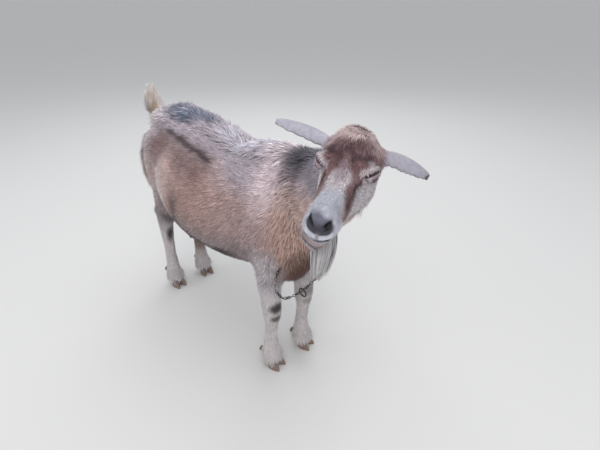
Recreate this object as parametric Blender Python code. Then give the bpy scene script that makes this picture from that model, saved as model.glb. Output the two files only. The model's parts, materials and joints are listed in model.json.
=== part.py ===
"""A life-size goat, standing still with its head turned to its right, in Blender 4.5.

Metres, +Z up. The goat faces -Y and its left side is +X. The flesh is one closed form, built from
tubes and blobs, smoothed, and then parted with thin cuts into trunk, neck, head and legs. Every size
is out to the tips of the coat. Eyes, hooves, dewclaws, ears, tail, beard, udder and collar are
objects of their own.
"""

import math

import bmesh
import bpy
from mathutils import Matrix, Vector
from mathutils.bvhtree import BVHTree

# Driving sizes
WHEELBASE = 0.510
STANCE = 0.107  # between the left and right feet
CUT = 0.0004  # the gap left by a parting cut
TIGHT = 0.0004  # the gap round an eye or hoof
SEAT = 0.0010  # the gap under an ear, the tail, beard or udder
VOXEL = 0.0062  # the grid that melts the flesh into one form
SMOOTHING = 7
FLESH_TRIANGLES = 3820

FORE = -WHEELBASE / 2  # y of the fore feet
HIND = WHEELBASE / 2
HALF_STANCE = STANCE / 2
RIGHT, LEFT = -1, 1
SIDES = ((RIGHT, "right"), (LEFT, "left"))

# The head's own axes: x to its left, y backward, z to the top of the skull
HEAD_YAW = math.radians(-67.5)  # turned to the goat's right
HEAD_DIP = math.radians(20.8)  # nose below level
HEAD_ROLL = math.radians(7.4)
BROW = Vector((-0.128, -0.536, 0.656))  # between the eyes
HEAD = (
    Matrix.Translation(BROW)
    @ Matrix.Rotation(HEAD_YAW, 4, "Z")
    @ Matrix.Rotation(HEAD_DIP, 4, "X")
    @ Matrix.Rotation(HEAD_ROLL, 4, "Y")
)
EYE = Vector((0.0345, -0.002, -0.012))
EYE_RADIUS = 0.0125

# Word, then root, direction to the tip and lie of the back of the ear, in the head's axes, and length
EARS = (
    ("right", Vector((-0.040, 0.038, -0.006)), Vector((-0.96, 0.25, -0.06)), Vector((0, 0.20, 0.98)), 0.108),
    ("left", Vector((0.042, 0.040, -0.008)), Vector((0.72, 0.40, -0.56)), Vector((0, -0.15, 0.98)), 0.098),
)

# Each foot: the middle of its two toe tips, its heading from -Y and the spread of its claws, in radians
FEET = (
    ("fore_right", Vector((-HALF_STANCE, FORE - 0.006, 0)), 0.26, 0.34),
    ("fore_left", Vector((HALF_STANCE, FORE - 0.004, 0)), 0.35, 0.40),
    ("hind_right", Vector((-HALF_STANCE, HIND - 0.022, 0)), 0.10, 0.20),
    ("hind_left", Vector((HALF_STANCE, HIND - 0.022, 0)), -0.12, 0.30),
)
FETLOCKS = {"fore": Vector((0, -0.246, 0.056)), "hind": Vector((0, 0.252, 0.060))}
DEWCLAW_BACK = {"fore": 0.022, "hind": 0.026}  # behind the middle of the fetlock
DEWCLAW_TILT = math.radians(28)
CLAW_LENGTH, CLAW_WIDTH, CLAW_HEIGHT = 0.040, 0.0185, 0.026

COLLAR_CENTRE = Vector((-0.006, -0.318, 0.440))
COLLAR_UP = Vector((0, -0.06, 1.0)).normalized()  # the collar's ring lies in the plane of x and this
COLLAR_WIRE = 0.0030
COLLAR_OFF = 0.0012  # between the collar and the coat
COLLAR_SLACK = 0.030  # how much lower the collar hangs than the chest
COLLAR_START = 0.30  # outside the neck, where the search for its surface starts
CLASP_RADIUS, CLASP_WIRE = 0.0110, 0.0022

# The planes that part neck and head, each a point and the direction of the piece beyond it
NECK_BASE, NECK_LIE = Vector((0, -0.335, 0.480)), Vector((0, -0.95, 0.30)).normalized()
NAPE, NAPE_LIE = Vector((0, 0.058, -0.055)), Vector((0, -0.90, 0.42)).normalized()  # in the head's axes
# The box that holds each leg: which, inner side, top, front and back
LEG_CUTS = (
    ("fore", 0.024, 0.260, -0.36, -0.185),
    ("hind", 0.010, 0.296, 0.168, 0.36),
)
OUTSIDE = 0.2  # a distance beyond the body's sides

COLOURS = {
    "flank": (0.42, 0.30, 0.23),
    "grey": (0.40, 0.38, 0.40),
    "brown": (0.28, 0.15, 0.10),
    "white": (0.72, 0.68, 0.66),
    "cream": (0.70, 0.62, 0.52),
    "pink": (0.30, 0.20, 0.18),
    "horn": (0.12, 0.10, 0.09),
    "eye": (0.05, 0.03, 0.02),
    "steel": (0.10, 0.10, 0.11),
}


def clear_scene():
    for obj in list(bpy.data.objects):
        bpy.data.objects.remove(obj, do_unlink=True)


def material(name, roughness=0.8, metallic=0.0):
    made = bpy.data.materials.get(name)
    if made is None:
        made = bpy.data.materials.new(name)
        made.use_nodes = True
        surface = made.node_tree.nodes["Principled BSDF"]
        surface.inputs["Base Color"].default_value = (*COLOURS[name], 1.0)
        surface.inputs["Roughness"].default_value = roughness
        surface.inputs["Metallic"].default_value = metallic
    return made


def new_object(name, mesh_data, looks=None):
    mesh = bpy.data.meshes.new(name)
    mesh_data.normal_update()
    mesh_data.to_mesh(mesh)
    mesh_data.free()
    obj = bpy.data.objects.new(name, mesh)
    bpy.context.scene.collection.objects.link(obj)
    if looks:
        mesh.materials.append(looks)
    return obj


def spline(stations, steps):
    """Values between the stations along a Catmull-Rom curve, `steps` to each stretch."""
    rows = [Vector(row) for row in stations]
    ends = [2 * rows[0] - rows[1], *rows, 2 * rows[-1] - rows[-2]]
    found = []
    for a, b, c, d in zip(ends, ends[1:], ends[2:], ends[3:]):
        for step in range(steps):
            t = step / steps
            found.append(
                0.5 * (2 * b + (c - a) * t + (2 * a - 5 * b + 4 * c - d) * t**2
                       + (3 * b - a - 3 * c + d) * t**3)
            )
    found.append(rows[-1])
    return found


def tube(stations, up=(0, 0, 1), around=20, steps=3, egg=0.0, place=None):
    """A closed tube with rounded ends. A station is (x, y, z, half width, half height).

    Half height is measured towards `up`. With `egg` above 0 the section is narrow on top.
    """
    rows = spline(stations, steps)
    centres = [Vector(row[:3]) for row in rows]
    rings = []
    for i, (row, centre) in enumerate(zip(rows, centres)):
        along = (centres[min(i + 1, len(rows) - 1)] - centres[max(i - 1, 0)]).normalized()
        side = Vector(up).cross(along).normalized()
        height = along.cross(side)
        ends = ()
        if i in (0, len(rows) - 1):
            ends = ((0.85, 0.30), (0.50, 0.50)) if i else ((0.50, -0.50), (0.85, -0.30))
        reach = min(row[3], row[4])
        shapes = [(1.0, 0.0), *ends] if i else [*ends, (1.0, 0.0)]
        for size, forward in shapes:
            ring = []
            for k in range(around):
                turn = 2 * math.pi * k / around
                width = row[3] * size * (1 - egg * math.sin(turn))
                ring.append(
                    centre + along * forward * reach
                    + side * width * math.cos(turn) + height * row[4] * size * math.sin(turn)
                )
            rings.append(ring)
    return skinned(rings, place)


def skinned(rings, place=None):
    """Rings of equal length joined into a closed mesh, with a fan on each end."""
    work = bmesh.new()
    verts = [[work.verts.new(place @ point if place else point) for point in ring] for ring in rings]
    for first, second in zip(verts, verts[1:]):
        for k in range(len(first)):
            after = (k + 1) % len(first)
            work.faces.new((first[k], first[after], second[after], second[k]))
    for ring in (verts[0], verts[-1]):
        middle = work.verts.new(sum((vert.co for vert in ring), Vector()) / len(ring))
        for k in range(len(ring)):
            work.faces.new((ring[k], ring[(k + 1) % len(ring)], middle))
    bmesh.ops.recalc_face_normals(work, faces=work.faces)
    return work


def blob(centre, radii, place=None, turn=None, detail=3):
    """An ellipsoid, with `turn` a rotation of its axes and `place` a final transform."""
    work = bmesh.new()
    matrix = Matrix.Translation(Vector(centre)) @ (turn or Matrix()) @ Matrix.Diagonal((*radii, 1.0))
    if place:
        matrix = place @ matrix
    bmesh.ops.create_icosphere(work, subdivisions=detail, radius=1.0, matrix=matrix)
    bmesh.ops.recalc_face_normals(work, faces=work.faces)
    return work


def trunk_forms():
    """Barrel, shoulders, haunches and brisket. Stations run from rump to chest."""
    yield tube(
        (
            (0, 0.290, 0.484, 0.034, 0.044),
            (0, 0.252, 0.479, 0.070, 0.108),
            (0, 0.195, 0.463, 0.098, 0.141),
            (0, 0.120, 0.443, 0.124, 0.153),
            (0, 0.040, 0.428, 0.146, 0.157),
            (0, -0.040, 0.415, 0.152, 0.153),
            (0, -0.120, 0.407, 0.140, 0.143),
            (0, -0.190, 0.422, 0.114, 0.150),
            (0, -0.250, 0.428, 0.090, 0.154),
            (0, -0.300, 0.406, 0.066, 0.124),
            (0, -0.326, 0.392, 0.034, 0.084),
        ),
        around=28,
        egg=0.16,
    )
    for side, _ in SIDES:
        yield blob((side * 0.056, -0.225, 0.425), (0.046, 0.080, 0.120))
        yield blob((side * 0.058, 0.205, 0.435), (0.050, 0.076, 0.115))
        yield blob((side * 0.040, 0.192, 0.560), (0.036, 0.060, 0.032))
    yield blob((0, -0.268, 0.352), (0.064, 0.066, 0.102))


def neck_form():
    return tube(
        (
            (0, -0.200, 0.476, 0.070, 0.104),
            (-0.004, -0.290, 0.486, 0.066, 0.104),
            (-0.016, -0.370, 0.516, 0.056, 0.088),
            (-0.040, -0.440, 0.560, 0.050, 0.071),
            (-0.064, -0.490, 0.610, 0.046, 0.062),
        ),
        around=24,
    )


def head_forms():
    """The skull from nape to nose in its own axes, then brows, cheeks, muzzle and chin."""
    yield tube(
        (
            (0, 0.062, -0.034, 0.036, 0.040),
            (0, 0.040, -0.036, 0.045, 0.050),
            (0, 0.010, -0.038, 0.045, 0.046),
            (0, -0.020, -0.038, 0.039, 0.040),
            (0, -0.050, -0.036, 0.031, 0.036),
            (0, -0.085, -0.030, 0.0255, 0.033),
            (0, -0.112, -0.026, 0.023, 0.028),
        ),
        around=24,
        place=HEAD,
    )
    yield blob((0, 0.022, -0.012), (0.044, 0.046, 0.026), HEAD)
    yield blob((0, -0.106, -0.026), (0.026, 0.022, 0.026), HEAD)
    yield tube(
        (
            (0, 0.030, -0.080, 0.026, 0.024),
            (0, -0.020, -0.076, 0.022, 0.020),
            (0, -0.065, -0.067, 0.0185, 0.017),
            (0, -0.100, -0.063, 0.0170, 0.014),
        ),
        around=18,
        place=HEAD,
    )
    yield blob((-0.002, 0.040, 0.004), (0.034, 0.030, 0.020), HEAD)
    for side, _ in SIDES:
        yield blob((side * 0.033, 0.001, -0.001), (0.0125, 0.018, 0.010), HEAD)
        yield blob((side * 0.034, 0.040, -0.020), (0.018, 0.022, 0.022), HEAD)
        yield blob((side * 0.025, 0.022, -0.068), (0.018, 0.040, 0.034), HEAD)
        yield blob((side * 0.016, -0.104, -0.034), (0.0125, 0.020, 0.015), HEAD)


def foreleg_form(side):
    x = side * HALF_STANCE
    return tube(
        (
            (side * 0.066, -0.225, 0.400, 0.034, 0.050),
            (side * 0.058, -0.240, 0.330, 0.033, 0.038),
            (x * 1.04, -0.250, 0.270, 0.0295, 0.0305),
            (x * 1.03, -0.254, 0.212, 0.0270, 0.0275),
            (x, -0.256, 0.172, 0.0250, 0.0265),
            (x, -0.252, 0.132, 0.0185, 0.0195),
            (x, -0.248, 0.092, 0.0180, 0.0190),
            (x, -0.246, 0.058, 0.0230, 0.0240),
            (x, -0.250, 0.030, 0.0280, 0.0270),
        ),
        up=(0, -1, 0),
        around=18,
    )


def hindleg_form(side):
    x = side * HALF_STANCE
    return tube(
        (
            (side * 0.064, 0.186, 0.420, 0.044, 0.068),
            (side * 0.066, 0.196, 0.345, 0.038, 0.053),
            (side * 0.062, 0.226, 0.286, 0.029, 0.040),
            (x * 1.05, 0.252, 0.236, 0.0230, 0.0310),
            (x, 0.260, 0.200, 0.0215, 0.0270),
            (x, 0.258, 0.150, 0.0185, 0.0210),
            (x, 0.255, 0.100, 0.0190, 0.0205),
            (x, 0.252, 0.062, 0.0230, 0.0250),
            (x, 0.246, 0.032, 0.0270, 0.0270),
        ),
        up=(0, -1, 0),
        around=18,
    )


def melted(name, forms):
    """All the forms as one closed, smoothed surface."""
    work = bmesh.new()
    for form in forms:
        piece = bpy.data.meshes.new("form")
        form.to_mesh(piece)
        form.free()
        work.from_mesh(piece)
        bpy.data.meshes.remove(piece)
    obj = new_object(name, work)
    melt = obj.modifiers.new("melt", "REMESH")
    melt.mode = "VOXEL"
    melt.voxel_size = VOXEL
    smooth = obj.modifiers.new("smooth", "SMOOTH")
    smooth.factor = 0.5
    smooth.iterations = SMOOTHING
    apply_all(obj)
    thin = obj.modifiers.new("thin", "DECIMATE")
    thin.ratio = FLESH_TRIANGLES / (2 * len(obj.data.polygons))
    apply_all(obj)
    return obj


def apply_all(obj):
    """Replaces the object's mesh with what its modifiers make of it."""
    bpy.context.view_layer.update()
    graph = bpy.context.evaluated_depsgraph_get()
    made = bpy.data.meshes.new_from_object(obj.evaluated_get(graph))
    obj.modifiers.clear()
    obj.data = made


def boolean(obj, other, operation):
    change = obj.modifiers.new(operation.lower(), "BOOLEAN")
    change.operation = operation
    change.object = other
    apply_all(obj)


def copied(obj, name):
    made = obj.copy()
    made.data = obj.data.copy()
    made.name = name
    bpy.context.scene.collection.objects.link(made)
    return made


def grown(obj, distance):
    """A copy of the object with its surface moved out, hidden as a helper."""
    made = copied(obj, "grown")
    made.hide_render = True
    work = bmesh.new()
    work.from_mesh(made.data)
    work.normal_update()
    moves = [vert.normal * distance * min(vert.calc_shell_factor(), 2.5) for vert in work.verts]
    for vert, move in zip(work.verts, moves):
        vert.co += move
    work.to_mesh(made.data)
    work.free()
    return made


def remove(*objects):
    for obj in objects:
        bpy.data.objects.remove(obj, do_unlink=True)


def box(low, high):
    """A box between two corners."""
    work = bmesh.new()
    middle = (Vector(low) + Vector(high)) / 2
    sides = Vector(high) - Vector(low)
    bmesh.ops.create_cube(work, size=1.0, matrix=Matrix.Translation(middle) @ Matrix.Diagonal((*sides, 1)))
    return new_object("cutter", work)


def half_space(point, normal):
    """A big box on the far side of a plane, where `normal` points."""
    work = bmesh.new()
    matrix = (
        Matrix.Translation(point)
        @ normal.to_track_quat("Z", "Y").to_matrix().to_4x4()
        @ Matrix.Translation((0, 0, 1.0))
    )
    bmesh.ops.create_cube(work, size=2.0, matrix=matrix)
    return new_object("cutter", work)


def part_off(flesh, name, cutter, looks):
    """Cuts the piece inside the cutter out of the flesh, with a thin gap between the two."""
    piece = copied(flesh, name)
    boolean(piece, cutter, "INTERSECT")
    keep_largest(piece)
    piece.data.materials.clear()
    piece.data.materials.append(looks)
    wider = grown(cutter, CUT)
    boolean(flesh, wider, "DIFFERENCE")
    keep_largest(flesh)
    remove(cutter, wider)
    return piece


def keep_largest(obj):
    """Drops crumbs that a cut leaves."""
    work = bmesh.new()
    work.from_mesh(obj.data)
    left = set(work.verts)
    islands = []
    while left:
        stack, island = [left.pop()], []
        while stack:
            vert = stack.pop()
            island.append(vert)
            for edge in vert.link_edges:
                other = edge.other_vert(vert)
                if other in left:
                    left.remove(other)
                    stack.append(other)
        islands.append(island)
    islands.sort(key=len)
    for island in islands[:-1]:
        bmesh.ops.delete(work, geom=island, context="VERTS")
    work.to_mesh(obj.data)
    work.free()


def seat(obj, flesh):
    """Cuts the flesh, slightly grown, out of an object that stands on it."""
    wider = grown(flesh, SEAT)
    boolean(obj, wider, "DIFFERENCE")
    remove(wider)
    keep_largest(obj)


def socket(flesh, obj):
    """Cuts a close-fitting socket for the object into the flesh."""
    wider = grown(obj, TIGHT)
    boolean(flesh, wider, "DIFFERENCE")
    remove(wider)
    keep_largest(flesh)


def eyes():
    made = []
    for side, word in SIDES:
        centre = Vector((side * EYE.x, EYE.y, EYE.z))
        work = bmesh.new()
        bmesh.ops.create_icosphere(
            work, subdivisions=2, radius=EYE_RADIUS, matrix=HEAD @ Matrix.Translation(centre)
        )
        made.append(new_object(f"eye_{word}", work, material("eye", 0.15)))
    return made


def ear(word, root, aim, back, length):
    """A long leaf, cupped along its middle, with a rounded tip. The opening faces away from `back`."""
    aim = aim.normalized()
    face = (back - aim * back.dot(aim)).normalized()
    across = aim.cross(face)
    rings = []
    for t in (0.0, 0.08, 0.18, 0.32, 0.48, 0.64, 0.78, 0.89, 0.96, 1.0):
        width = 0.0175 * math.sqrt(max(1 - max(0, (t - 0.45) / 0.56) ** 2.4, 0.02))
        width *= 0.66 + 0.34 * math.sin(min(t / 0.42, 1) * math.pi / 2)
        thick = 0.0040 * (1.5 - 0.85 * t)
        bow = 0.004 * math.sin(math.pi * t)
        centre = root + aim * length * t + face * bow
        ring = []
        for k in range(12):
            turn = 2 * math.pi * k / 12
            u = math.cos(turn)
            cup = 0.0070 * u * u * (1 - 0.6 * t)
            ring.append(centre + across * width * u + face * (thick * math.sin(turn) - cup))
        rings.append(ring)
    return new_object(f"ear_{word}", skinned(rings, HEAD), material("white"))


def tail():
    work = tube(
        (
            (0, 0.292, 0.535, 0.020, 0.018),
            (0, 0.318, 0.560, 0.023, 0.018),
            (0, 0.330, 0.590, 0.022, 0.018),
            (0, 0.334, 0.622, 0.013, 0.011),
        ),
        up=(0, 1, 0.2),
        around=10,
    )
    return new_object("tail", work, material("cream"))


def beard():
    """Hangs straight down from the chin, broader along the jaw than across it."""
    along_jaw = HEAD.to_3x3() @ Vector((0, -1, 0))
    work = tube(
        (
            (-0.176, -0.548, 0.570, 0.0120, 0.0200),
            (-0.181, -0.549, 0.540, 0.0135, 0.0190),
            (-0.187, -0.548, 0.505, 0.0130, 0.0160),
            (-0.192, -0.546, 0.476, 0.0090, 0.0100),
        ),
        up=(along_jaw.x, along_jaw.y, 0),
        around=10,
    )
    return new_object("beard", work, material("white"))


def udder():
    """A small bag with two short teats."""
    made = new_object("udder", blob((0, 0.188, 0.262), (0.040, 0.048, 0.056), detail=2), material("pink"))
    for side, _ in SIDES:
        teat = tube(
            (
                (side * 0.020, 0.176, 0.235, 0.0075, 0.0075),
                (side * 0.023, 0.168, 0.212, 0.0065, 0.0065),
                (side * 0.024, 0.164, 0.196, 0.0045, 0.0045),
            ),
            up=(0, -1, 0),
            around=8,
            steps=1,
        )
        teat = new_object("teat", teat)
        boolean(made, teat, "UNION")
        remove(teat)
    return made


def claw_rings():
    """A cloven hoof's half, toe towards -Y: flat sole, steep sides, sloping front."""
    for z, front, back, width in (
        (0.000, -0.62, 0.38, 1.00),
        (0.004, -0.60, 0.39, 1.02),
        (0.016, -0.40, 0.38, 0.94),
        (CLAW_HEIGHT, -0.24, 0.36, 0.84),
    ):
        ring = []
        for k in range(12):
            turn = 2 * math.pi * k / 12
            y = math.sin(turn)
            pinch = 1 - 0.45 * max(0.0, -y) ** 2
            reach = -front if y < 0 else back
            ring.append(Vector((
                0.5 * CLAW_WIDTH * width * pinch * math.cos(turn),
                CLAW_LENGTH * reach * y,
                z,
            )))
        yield ring


def feet():
    made = []
    for word, place, heading, spread in FEET:
        for side, which in ((RIGHT, "a"), (LEFT, "b")):
            turn = Matrix.Rotation(heading + side * spread / 2, 4, "Z")
            aside = Matrix.Rotation(heading, 4, "Z") @ Vector((side * CLAW_WIDTH * 0.60, 0, 0))
            matrix = Matrix.Translation(place + aside) @ turn
            rings = list(claw_rings())
            made.append(new_object(f"hoof_{word}_{which}", skinned(rings, matrix), material("horn", 0.55)))
    return made


def dewclaws():
    """Two small claws behind each fetlock."""
    made = []
    for word, place, heading, _ in FEET:
        end = word.split("_")[0]
        middle, back = FETLOCKS[end], DEWCLAW_BACK[end]
        for side, which in ((RIGHT, "a"), (LEFT, "b")):
            matrix = Matrix.Translation((place.x, middle.y, middle.z)) @ Matrix.Rotation(heading, 4, "Z")
            tilt = Matrix.Rotation(DEWCLAW_TILT, 4, "X")
            work = blob((side * 0.0105, back, -0.010), (0.0062, 0.0052, 0.0105), matrix, tilt, 2)
            made.append(new_object(f"dewclaw_{word}_{which}", work, material("horn")))
    return made


def collar(flesh):
    """A thin chain collar as one smooth ring, resting round the base of the neck and slack below."""
    turns = 40
    seen = BVHTree.FromObject(flesh, bpy.context.evaluated_depsgraph_get())
    normal = Vector((1, 0, 0)).cross(COLLAR_UP)
    radii = []
    for k in range(turns):
        turn = 2 * math.pi * k / turns
        out = Vector((1, 0, 0)) * math.cos(turn) + COLLAR_UP * math.sin(turn)
        hit = seen.ray_cast(COLLAR_CENTRE + out * COLLAR_START, -out)[0]
        radii.append((hit - COLLAR_CENTRE).length)
    loop = []
    for k in range(turns):
        turn = 2 * math.pi * k / turns
        out = Vector((1, 0, 0)) * math.cos(turn) + COLLAR_UP * math.sin(turn)
        near = max(radii[(k + step) % turns] for step in (-2, -1, 0, 1, 2))
        slack = COLLAR_SLACK * max(0.0, -math.sin(turn + 0.25)) ** 3
        loop.append(COLLAR_CENTRE + out * (near + COLLAR_WIRE + COLLAR_OFF + slack) + normal * slack * 0.3)
    lowest = min(range(turns), key=lambda k: loop[k].z)
    along = (loop[(lowest + 1) % turns] - loop[lowest - 1]).normalized()
    return (
        new_object("collar", ring_of(loop, COLLAR_WIRE, COLLAR_CENTRE), material("steel", 0.4, 0.8)),
        clasp(loop[lowest], along),
    )


def clasp(point, along):
    """A small link that hangs on the collar's lowest point, with the collar through it."""
    down = (Vector((0, 0, -1)) - along * -along.z).normalized()
    across = along.cross(down)
    middle = point + down * (CLASP_RADIUS - CLASP_WIRE - COLLAR_WIRE - 0.0005)
    turns = [2 * math.pi * k / 20 for k in range(20)]
    loop = [middle + (down * math.cos(a) + across * math.sin(a)) * CLASP_RADIUS for a in turns]
    return new_object("collar_clasp", ring_of(loop, CLASP_WIRE, middle), material("steel", 0.4, 0.8))


def ring_of(loop, radius, centre, around=6):
    """A round wire along a closed loop of points."""
    work = bmesh.new()
    rings = []
    for k, point in enumerate(loop):
        along = (loop[(k + 1) % len(loop)] - loop[k - 1]).normalized()
        out = point - centre
        out = (out - along * out.dot(along)).normalized()
        third = along.cross(out)
        angles = [2 * math.pi * j / around for j in range(around)]
        rings.append([
            work.verts.new(point + (out * math.cos(a) + third * math.sin(a)) * radius) for a in angles
        ])
    for k, ring in enumerate(rings):
        after = rings[(k + 1) % len(rings)]
        for j in range(around):
            work.faces.new((ring[j], ring[(j + 1) % around], after[(j + 1) % around], after[j]))
    bmesh.ops.recalc_face_normals(work, faces=work.faces)
    return work


def part_the_flesh(flesh):
    """Neck and head by planes, legs by boxes. What is left is the trunk."""
    turned = HEAD.to_3x3()
    neck = part_off(flesh, "neck", half_space(NECK_BASE, NECK_LIE), material("grey"))
    part_off(neck, "head", half_space(HEAD @ NAPE, turned @ NAPE_LIE), material("brown"))
    for side, word in SIDES:
        for which, inner, top, front, back in LEG_CUTS:
            low = (min(side * inner, side * OUTSIDE), front, -OUTSIDE)
            high = (max(side * inner, side * OUTSIDE), back, top)
            part_off(flesh, f"{which}leg_{word}", box(low, high), material("white"))


def settle():
    """Moves everything so that the origin is below the middle of the object's box."""
    bpy.context.view_layer.update()
    points = [vert.co for obj in bpy.data.objects for vert in obj.data.vertices]
    middle = Vector([(min(p[i] for p in points) + max(p[i] for p in points)) / 2 for i in (0, 1)] + [0])
    for obj in bpy.data.objects:
        obj.data.transform(Matrix.Translation(-middle))
    print("moved by", [round(-value, 5) for value in middle])


def main():
    clear_scene()
    forms = [*trunk_forms(), neck_form(), *head_forms()]
    for side, _ in SIDES:
        forms += [foreleg_form(side), hindleg_form(side)]
    flesh = melted("trunk", forms)
    flesh.data.materials.append(material("flank"))
    for extra in (*[ear(*row) for row in EARS], tail(), beard(), udder()):
        seat(extra, flesh)
    collar(flesh)
    for hard in (*eyes(), *feet(), *dewclaws()):
        socket(flesh, hard)
    part_the_flesh(flesh)
    settle()


if __name__ == "__main__":
    main()
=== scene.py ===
"""A life-size standing goat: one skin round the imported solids, and a coat of mesh tufts that grows on it."""
import json
import math

import bmesh
import bpy
import numpy as np
from mathutils import Matrix, Vector
from mathutils.bvhtree import BVHTree

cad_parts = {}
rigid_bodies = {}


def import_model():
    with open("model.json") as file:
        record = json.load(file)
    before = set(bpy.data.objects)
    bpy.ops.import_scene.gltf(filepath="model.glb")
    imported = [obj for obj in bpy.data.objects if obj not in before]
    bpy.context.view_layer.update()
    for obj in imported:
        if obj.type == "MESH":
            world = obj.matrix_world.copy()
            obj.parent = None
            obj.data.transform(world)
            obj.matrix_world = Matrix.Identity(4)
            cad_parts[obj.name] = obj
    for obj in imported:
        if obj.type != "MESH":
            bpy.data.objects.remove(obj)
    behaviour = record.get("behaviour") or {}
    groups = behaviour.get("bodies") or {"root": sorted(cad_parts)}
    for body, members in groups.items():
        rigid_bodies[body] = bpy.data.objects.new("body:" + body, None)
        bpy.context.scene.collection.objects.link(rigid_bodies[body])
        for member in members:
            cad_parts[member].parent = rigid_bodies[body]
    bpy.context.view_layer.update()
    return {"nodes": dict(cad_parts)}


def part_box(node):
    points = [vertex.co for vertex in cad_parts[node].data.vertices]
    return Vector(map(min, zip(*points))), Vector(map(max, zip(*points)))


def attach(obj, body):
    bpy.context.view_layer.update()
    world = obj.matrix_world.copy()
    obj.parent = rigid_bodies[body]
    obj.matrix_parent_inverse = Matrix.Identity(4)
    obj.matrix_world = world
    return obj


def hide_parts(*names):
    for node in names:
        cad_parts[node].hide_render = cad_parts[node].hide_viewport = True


for leftover in list(bpy.data.objects):
    bpy.data.objects.remove(leftover)
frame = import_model()
NODES = frame["nodes"]

SIDES = ("left", "right")
LEGS = tuple(f"{end}leg_{side}" for end in ("fore", "hind") for side in SIDES)
EARS = ("ear_left", "ear_right")
FLESH = ("trunk", "neck", "head", "tail", "udder", *EARS, *LEGS)
EYES = tuple(f"eye_{side}" for side in SIDES)
HORN = tuple(sorted(name for name in NODES if name.startswith(("hoof_", "dewclaw_"))))
NAMES = (*FLESH, *EYES, *HORN)

GROW = 0.0012  # closes the solids' parting gaps before they are melted into one skin
SKIN_GRID = 0.0038
COAT_DEPTH = {"trunk": 0.0085, "neck": 0.0090, "head": 0.0022, "tail": 0.0085, "udder": 0.0010}
COAT_DEPTH |= dict.fromkeys(EARS, -0.0007) | dict.fromkeys(LEGS, 0.0028)
NEAR_HORN_DEPTH = 0.0008
UNDER_HORN = 0.0022  # how far the skin dives under a hoof
PASTERN_TOP = 0.050  # below this height the coat over the skin is as thin as at a hoof

HEAD_YAW, HEAD_DIP, HEAD_ROLL = (math.radians(a) for a in (-67.5, 20.8, 7.4))
EYE_IN_HEAD = Vector((0.0345, -0.002, -0.012))  # the left eye; the head's x runs to its left, y back, z up
EYE_RADIUS = 0.0125
EAR_AIM = {"ear_left": Vector((0.72, 0.40, -0.56)), "ear_right": Vector((-0.96, 0.25, -0.06))}
EAR_BACK = {"ear_left": Vector((0, -0.15, 0.98)), "ear_right": Vector((0, 0.20, 0.98))}


def head_axes():
    """The turn of the head as a matrix of columns, and the point between the eyes."""
    turn = Matrix.Rotation(HEAD_YAW, 3, "Z") @ Matrix.Rotation(HEAD_DIP, 3, "X")
    turn = turn @ Matrix.Rotation(HEAD_ROLL, 3, "Y")
    middle = sum((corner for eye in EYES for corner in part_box(eye)), Vector()) / 4
    between = Vector((0, EYE_IN_HEAD.y, EYE_IN_HEAD.z))
    return np.array(turn), np.array(middle - turn @ between)


def box(node):
    """The lowest and the highest corner of a CAD node."""
    return tuple(np.array(corner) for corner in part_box(node))


HEAD_TURN, BROW = head_axes()
SPINE_X = sum(float(corner[0]) for corner in box("trunk")) / 2
COLLAR_Y = sum(float(corner[1]) for corner in box("collar")) / 2
TAIL_LOW, TAIL_HIGH = box("tail")


# ---------------------------------------------------------------- small tools


def srgb(*bytes_):
    """A colour given as 0-255 display values, made linear."""
    value = np.array(bytes_) / 255
    return np.where(value <= 0.04045, value / 12.92, ((value + 0.055) / 1.055) ** 2.4)


def unit(vectors):
    return vectors / np.maximum(np.linalg.norm(vectors, axis=-1, keepdims=True), 1e-9)


def step(low, high, value):
    """0 below low, 1 above high, smooth between. low may be the larger."""
    t = np.clip((value - low) / (high - low), 0, 1)
    return t * t * (3 - 2 * t)


def hump(value, width):
    """1 where value is 0, falling away at about width from it."""
    return np.exp(-((value / width) ** 2))


def blend(a, b, weight):
    return a * (1 - weight[:, None]) + b * weight[:, None]


def rows(count, *values):
    """Each value, an array or one number, as a column of count rows."""
    return np.column_stack([np.broadcast_to(np.asarray(value, float), count) for value in values])


def wobble(points, size, seed, waves=7):
    """Smooth noise of about -1 to 1 whose bumps are about size across."""
    rng = np.random.default_rng(seed)
    turns = unit(rng.normal(size=(waves, 3))) * (math.pi / size) * rng.uniform(0.6, 1.5, (waves, 1))
    phases = rng.uniform(0, 2 * math.pi, waves)
    return np.sin(points @ turns.T + phases).sum(axis=1) / math.sqrt(waves) / 1.2


def shaken(points, amount, size, seeds):
    """The points moved by smooth noise, so that an outline drawn through them is wavy."""
    return points + amount * np.column_stack([wobble(points, size, seed) for seed in seeds])


def folded(points, middle=0.0):
    """The points with both sides laid on one: x becomes the distance from the middle plane."""
    both = points.copy()
    both[:, 0] = np.abs(points[:, 0] - middle)
    return both


def spot(points, centre, radii, soft=0.5):
    """1 inside an ellipsoid, fading to 0 outside it."""
    reach = np.linalg.norm((points - np.array(centre)) / np.array(radii), axis=1)
    return step(1 + soft, 1 - soft, reach)


def streak(points, path, width, soft=0.5):
    """1 along a path of points, fading out at width from it."""
    path = np.array(path, float)
    reach = np.full(len(points), np.inf)
    for a, b in zip(path[:-1], path[1:]):
        along = np.clip(((points - a) @ (b - a)) / ((b - a) @ (b - a)), 0, 1)
        reach = np.minimum(reach, np.linalg.norm(points - a - along[:, None] * (b - a), axis=1))
    return step(width * (1 + soft), width * (1 - soft), reach)


def paint(colours, mask, colour):
    colours += np.clip(mask, 0, 1)[:, None] * (np.asarray(colour) - colours)


def dapple(colours, points, *patches):
    """Paints each patch: its strength, colour, middle, half sides and softness."""
    for strength, colour, centre, radii, soft in patches:
        paint(colours, strength * spot(points, centre, radii, soft), colour)


def draw(colours, points, *lines):
    """Paints each line: its strength, colour, path, width and softness."""
    for strength, colour, path, width, soft in lines:
        paint(colours, strength * streak(points, path, width, soft), colour)


def to_head(points):
    return (points - BROW) @ HEAD_TURN


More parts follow.
